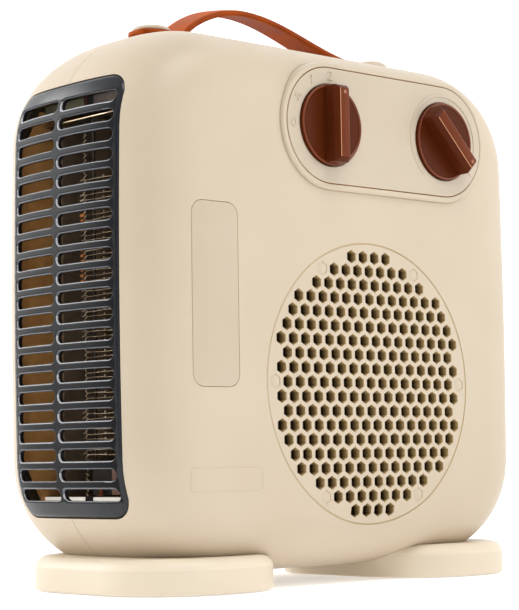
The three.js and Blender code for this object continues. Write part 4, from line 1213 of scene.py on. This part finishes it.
def foot(node):
    """An oval block with rounded edges whose top is hollowed to the body."""
    low, high = box_mm(node)
    outline = rounded_rectangle(low.x, low.y, high.x, high.y, FOOT_CORNER, 18, 6.0)
    rings = []
    for k in range(4):
        angle = math.pi / 2 * k / 3
        inset, rise = (1 - math.sin(angle)), (1 - math.cos(angle))
        rings.append((-FOOT_UNDER_ROUNDING * inset, low.z + FOOT_UNDER_ROUNDING * rise))
    for k in range(10):
        angle = math.pi / 2 * k / 9
        inset, drop = (1 - math.cos(angle)), (1 - math.sin(angle))
        rings.append((-FOOT_ROUNDING * inset, high.z - FOOT_ROUNDING * drop))
    piece = new_piece(
        node + "_block",
        *loft([[(px, py, z) for px, py in outline(offset)] for offset, z in rings]),
        [CREAM_PAINTED_LIGHT_FOOT, CREAM_PAINTED_LIGHT_FOOT_TOP],
        slot="cream_plastic",
    )
    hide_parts(node)
    # Faces turned up take the lighter top copy: painted light on the foot tops
    for face in piece.data.polygons:
        if face.normal.z > 0.25:
            face.material_index = 1
    cut(piece, [whole_body(0.06)], sharp=50)


foot("foot_left")
foot("foot_right")

# ---------------------------------------------------------------------------
# Strap and its caps
# ---------------------------------------------------------------------------
strap_low, strap_high = box_mm("strap")
left_cap_low, left_cap_high = box_mm("strap_cap_left")
right_cap_low, right_cap_high = box_mm("strap_cap_right")
LEFT_CAP_X = (left_cap_low.x + left_cap_high.x) / 2
RIGHT_CAP_X = (right_cap_low.x + right_cap_high.x) / 2
CAP_RADIUS = (left_cap_high.x - left_cap_low.x) / 2
STRAP_HALF_WIDTH = (strap_high.y - strap_low.y) / 2
STRAP_THICKNESS = 2.6
STRAP_PEAK_X = -20.0
STRAP_STEPS = 150
STRAP_EASE = 0.95
STRAP_CROWN = 0.5
STRAP_SPRING = 3.0
LEFT_FALL_POWER = 0.7
STRAP_TWIST = 3.4
TWIST_START_X = -57.0
TWIST_RUN = 112.0
STRAP_REST = strap_low.z
STRAP_ARCH = strap_high.z - strap_low.z - STRAP_THICKNESS


def strap_height(x):
    """Height of the strap's underside: flat under the caps, one arch between them."""
    left_end, right_end = LEFT_CAP_X + CAP_RADIUS + STRAP_SPRING, RIGHT_CAP_X - CAP_RADIUS - STRAP_SPRING
    end = left_end if x < STRAP_PEAK_X else right_end
    share = min(1.0, abs(x - STRAP_PEAK_X) / abs(end - STRAP_PEAK_X))
    if x < STRAP_PEAK_X:
        fall = math.cos(share * math.pi / 2) ** LEFT_FALL_POWER if share < 1 else 0.0
    else:
        fall = 0.5 + 0.5 * math.cos(share * math.pi)
    return STRAP_REST + STRAP_ARCH * fall


def strap():
    """A band with round ends that follows the arch, crowned across and twisted up a little at the back."""
    half = STRAP_HALF_WIDTH
    ease = STRAP_EASE
    rings = []
    section = []
    for cy, cz, start in ((half - ease, ease, -90), (half - ease, STRAP_THICKNESS - ease, 0),
                          (-half + ease, STRAP_THICKNESS - ease, 90), (-half + ease, ease, 180)):
        section += arc(cy, cz, ease, start, start + 90, 4)
        if start in (0, 180):
            sign = 1 if start == 0 else -1
            level = STRAP_THICKNESS if start == 0 else 0.0
            section += [(sign * (half - ease) * (1 - 2 * k / 8), level) for k in range(1, 8)]
    for step in range(STRAP_STEPS + 1):
        share = 0.5 - 0.5 * math.cos(math.pi * step / STRAP_STEPS)
        x = strap_low.x + (strap_high.x - strap_low.x) * share
        from_end = min(x - strap_low.x, strap_high.x - x)
        narrow = math.sqrt(max(0.0025, 1 - ((half - from_end) / half) ** 2)) if from_end < half else 1.0
        slope = (strap_height(x + 0.2) - strap_height(x - 0.2)) / 0.4
        lean = Vector((-slope, 1)).normalized()
        base = strap_height(x)
        middle = STRAP_THICKNESS / 2
        ring = []
        along_twist = min(1.0, max(0.0, (x - TWIST_START_X) / TWIST_RUN))
        bump = math.sin(math.pi * along_twist) ** 0.6
        level_share = 1 - min(1.0, abs(base - STRAP_REST - STRAP_ARCH) / STRAP_ARCH)
        for py, pz in section:
            twist = STRAP_TWIST * bump * (0.5 + 0.5 * py / half) ** 1.2
            offset = (pz - middle) * (1 if from_end > 1 else max(0.3, from_end))
            droop = STRAP_CROWN * (py / half) ** 2 * level_share
            ring.append((x + lean.x * offset, py * narrow, base + middle + lean.y * offset - droop + twist))
        rings.append(ring)
    return loft(rings)


band = new_piece("strap_band", *strap(), [HIDE, HIDE_EDGE], sharp=70, slot="leather")
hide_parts("strap")
for face in band.data.polygons:
    if abs(face.normal.y) > 0.55:
        face.material_index = 1


def turned(profile, x, y, steps=64, put=across_top):
    """A closed turned piece: the profile is (radius, height) from the axis round to the axis."""
    rings = []
    for radius, height in profile:
        rings.append([put(px, py, height) for px, py in circle(x, y, max(radius, 0.01), steps)(0)])
    return loft(rings)


LEFT_CAP_SHARE = 0.78
RIGHT_CAP_SHARE = 1.3
CAP_RIM = 0.8
for word, x, low, share in (
    ("left", LEFT_CAP_X, left_cap_low, LEFT_CAP_SHARE), ("right", RIGHT_CAP_X, right_cap_low, RIGHT_CAP_SHARE)
):
    high = share * (left_cap_high.z - left_cap_low.z)
    profile = [(CAP_RADIUS - 0.5, 0.0), (CAP_RADIUS - 0.1, 0.25), (CAP_RADIUS, CAP_RIM)]
    for k in range(1, 13):
        angle = math.pi / 2 * k / 12
        height = CAP_RIM + (high - CAP_RIM) * math.sin(angle) ** 1.3
        profile.append((CAP_RADIUS * math.cos(angle) ** 0.45, height))
    cap = new_piece(
        "strap_cap_%s_button" % word,
        *turned([(r, low.z + h) for r, h in profile], x, 0.0),
        CREAM,
        slot="cream_plastic",
    )
    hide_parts("strap_cap_" + word)


# ---------------------------------------------------------------------------
# Knobs
# ---------------------------------------------------------------------------
LIP_ROUNDING = 0.45
DISC_SUNK = 0.6
DISC_INNER = 9.0
BAR_CORNER = 0.7


def knob(name, x, degrees, body):
    """A flat disc with a fine raised lip, and a bevelled grip bar across it."""
    face = PANEL_FRONT - KNOB_RISE
    angle = math.radians(degrees)

    c, s = math.cos(angle), math.sin(angle)

    def put(u, v, depth):
        return (x + u * c + v * s, depth, PANEL_Z - u * s + v * c)

    rim = KNOB_RADIUS
    disc = [(rim - 0.2, PANEL_FRONT + 1.0), (rim, PANEL_FRONT + 0.8), (rim, face + LIP_ROUNDING)]
    for degrees_round in (30, 60, 90):
        turn = math.radians(degrees_round)
        inset, drop = 1 - math.cos(turn), 1 - math.sin(turn)
        disc.append((rim - LIP_ROUNDING * inset, face + LIP_ROUNDING * drop))
    disc += [(rim - 0.75, face + 0.02), (rim - 0.95, face + 0.15), (rim - 1.15, face + 0.45)]
    disc += [(rim - 1.4, face + DISC_SUNK), (DISC_INNER, face + DISC_SUNK)]
    parts = [turned(disc, 0.0, 0.0, 128, put)]
    front_y = face - BAR_RISE
    side = BAR_HALF_WIDTH
    profile = [(0.0, face + 0.9), (0.12, face - 4.6), (0.2, face - 5.35), (0.42, face - 5.75)]
    profile += [(1.75, front_y + 0.28), (1.95, front_y + 0.1), (2.25, front_y)]
    rings = []
    for inset, y in profile:
        across, length = side - inset, BAR_HALF_LENGTH - inset
        outline = rounded_rectangle(-across, -length, across, length, BAR_CORNER, 4, 40)
        rings.append([put(u, v, y) for u, v in outline(0)])
    parts.append(loft(rings))
    finishes = [BROWN, BROWN_FACE_PAINTED_LIGHT, BROWN_EDGE_PAINTED_HIGHLIGHT, BROWN_RIM_PAINTED_HIGHLIGHT]
    along = Vector((math.sin(angle), 0.0, math.cos(angle)))
    made = new_piece(name + "_grip", *joined(parts), finishes, body=body, sharp=28, slot="brown_plastic")
    # Front faces, long bar edges and the disc's fine lip take the lighter copies: painted light and painted
    # highlights
    for polygon in made.data.polygons:
        level = (polygon.center.y - CENTRE.y) / MM
        tilt = -polygon.normal.y
        long_edge = abs(polygon.normal.dot(along)) < 0.4
        if level < front_y + 0.05 and tilt > 0.9:
            polygon.material_index = 1
        elif level < front_y + 0.3 and tilt > 0.2 and long_edge:
            polygon.material_index = 2
        elif face - 0.3 < level < face + 0.3 and polygon.area < 1.0 * MM * MM:
            polygon.material_index = 3
    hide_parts(name)


knob("function_knob", FUNCTION_X, 0.0, "function_control")
knob("thermostat_knob", THERMOSTAT_X, THERMOSTAT_POINTS_AT, "thermostat_control")

# ---------------------------------------------------------------------------
# Finishes for the nodes that keep their CAD shape
# ---------------------------------------------------------------------------
NODE_FINISH = {
    DUCT_AND_SHADE: ("fan_scroll", "heating_wire_back"),
    SLATE_INNER: ("fan_inlet_ring",),
    BLACK: ("impeller", "rotary_switch", "tilt_switch", "cord_inlet"),
    RUBBER: tuple("foot_pad_%s_%s" % (side, end) for side in ("left", "right") for end in ("front", "rear")),
    BRASS: ("thermostat_blade", "motor_bridge_front", "motor_bridge_rear"),
    COPPER: ("motor_coil",),
    CERAMIC: ("thermostat", "terminal_block"),
    MICA: ("mica_front_side", "mica_rear_side"),
    MICA_DARK: ("mica_middle_card", "mica_top_plate", "mica_bottom_plate"),
    MICA_PALE: ("mica_centre_card",),
    POINTER: ("function_pointer", "thermostat_pointer"),
}
finish_of = {node: finish for finish, nodes in NODE_FINISH.items() for node in nodes}
for node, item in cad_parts.items():
    if not item.hide_render:
        item.data.materials.clear()
        item.data.materials.append(finish_of.get(node, STEEL))

# ---------------------------------------------------------------------------
# Studio: pale floor, soft light, camera
# ---------------------------------------------------------------------------
def paper(name, light, dark, scale, roughness, specular=0.0, glow=0.0):
    """A studio surface with a faint drift of tone and, where asked, a white glow."""
    shader = Shader(name, roughness, specular=specular)
    shader.colour(shader.blend(shader.noise(scale, 2.0), (light,) * 3, (dark,) * 3))
    shader.surface.inputs["Emission Color"].default_value = (1.0, 1.0, 1.0, 1.0)
    shader.surface.inputs["Emission Strength"].default_value = glow
    return shader.material


def staged(name, points, faces, material, hidden_from=()):
    """A mesh of the studio, in metres, that some kinds of ray don't meet."""
    mesh = bpy.data.meshes.new(name)
    mesh.from_pydata(points, [], faces)
    mesh.materials.append(material)
    made = bpy.data.objects.new(name, mesh)
    bpy.context.collection.objects.link(made)
    for ray in hidden_from:
        setattr(made, "visible_" + ray, False)


FLOOR_REACH = 30.0
QUAD = [(0, 1, 2, 3)]
floor_corners = [(a * FLOOR_REACH, b * FLOOR_REACH, 0) for a, b in ((-1, -1), (1, -1), (1, 1), (-1, 1))]
staged("floor", floor_corners, QUAD, paper("floor_paper", 0.94, 0.92, 8.0, 0.75, 0.2, 0.36))

WORLD_STRENGTH = 0.74
world = bpy.data.worlds.new("studio")
bpy.context.scene.world = world
world.use_nodes = True
world.node_tree.nodes["Background"].inputs["Color"].default_value = (1.0, 1.0, 1.0, 1.0)
world.node_tree.nodes["Background"].inputs["Strength"].default_value = WORLD_STRENGTH

LIGHTS_AIM = Vector((0.0, 0.0, 0.12))


def softbox(name, place, size, power, colour=(1.0, 1.0, 1.0)):
    """A rectangular light turned to the heater's middle, with its size in metres and power in watts."""
    light = bpy.data.lights.new(name, "AREA")
    light.shape = "RECTANGLE"
    light.size, light.size_y = size
    light.energy = power
    light.color = colour
    lamp = bpy.data.objects.new(name, light)
    bpy.context.collection.objects.link(lamp)
    lamp.location = place
    lamp.rotation_mode = "QUATERNION"
    lamp.rotation_quaternion = (LIGHTS_AIM - Vector(place)).to_track_quat("-Z", "Y")


softbox("key", (1.45, -1.0, 0.6), (1.0, 1.0), 5.0, (1.0, 0.98, 0.95))
softbox("over", (-0.1, -0.9, 1.9), (1.4, 0.8), 18.0)
softbox("rim", (-1.05, 1.25, 0.75), (1.3, 1.0), 18.0)

# White backdrop behind the heater, for the camera and reflections
BACKDROP_PLACE = Vector((4.0, 4.5, 0.0))
BACKDROP_REACH = 12.0
BACKDROP_RISE = Vector((0, 0, BACKDROP_REACH))
backdrop_paper = paper("backdrop_paper", 0.9, 0.92, 2.0, 0.9, 0.0, 0.6)
along = Vector((BACKDROP_PLACE.y, -BACKDROP_PLACE.x, 0)).normalized() * BACKDROP_REACH
near_corner, far_corner = BACKDROP_PLACE - along, BACKDROP_PLACE + along
backdrop_corners = [near_corner, far_corner, far_corner + BACKDROP_RISE, near_corner + BACKDROP_RISE]
staged("backdrop", [tuple(p) for p in backdrop_corners], QUAD, backdrop_paper, ("diffuse", "shadow"))

# White ring all round, for the camera only
RING_REACH = 16.0
RING_SIDES = 64
ring_points = []
for height in (-0.01, RING_REACH):
    for k in range(RING_SIDES):
        turn = 2 * math.pi * k / RING_SIDES
        ring_points.append((RING_REACH * math.cos(turn), RING_REACH * math.sin(turn), height))
ring_faces = [
    (k, (k + 1) % RING_SIDES, RING_SIDES + (k + 1) % RING_SIDES, RING_SIDES + k) for k in range(RING_SIDES)
]
staged("studio_ring", ring_points, ring_faces, backdrop_paper, ("diffuse", "glossy", "shadow"))

# A dark card on the left, which the camera doesn't see, keeps the faces turned to it from going flat
FLAG_PLACE = Vector((-1.3, -0.6, 0.4))
FLAG_HALF_SIDE = 0.5
FLAG_LOWEST = 0.02
across = FLAG_PLACE.cross(Vector((0, 0, 1))).normalized() * FLAG_HALF_SIDE
up = Vector((0, 0, FLAG_HALF_SIDE))
flag_corners = [
    FLAG_PLACE - across - up, FLAG_PLACE + across - up, FLAG_PLACE + across + up, FLAG_PLACE - across + up
]
flag_points = [(p.x, p.y, max(FLAG_LOWEST, p.z)) for p in flag_corners]
staged("flag", flag_points, QUAD, paper("flag_cloth", 0.1, 0.14, 12.0, 0.9, 0.1), ("camera",))

# The camera stands where the photograph's did, in millimetres from the body's centre
CAMERA_FROM_CENTRE = Vector((-584.6, -645.6, -68.9))
CAMERA_TURN = (94.691, 0.893, -41.825)
CAMERA_LENS = 112.23
camera_data = bpy.data.cameras.new("camera")
camera_data.lens = CAMERA_LENS
camera_data.sensor_width = 36.0
camera_data.clip_start = 0.05
camera_data.clip_end = 100.0
camera = bpy.data.objects.new("camera", camera_data)
bpy.context.collection.objects.link(camera)
camera.location = CENTRE + CAMERA_FROM_CENTRE * MM
camera.rotation_euler = Euler([math.radians(degrees) for degrees in CAMERA_TURN])
bpy.context.scene.camera = camera
bpy.context.scene.view_settings.view_transform = "Standard"
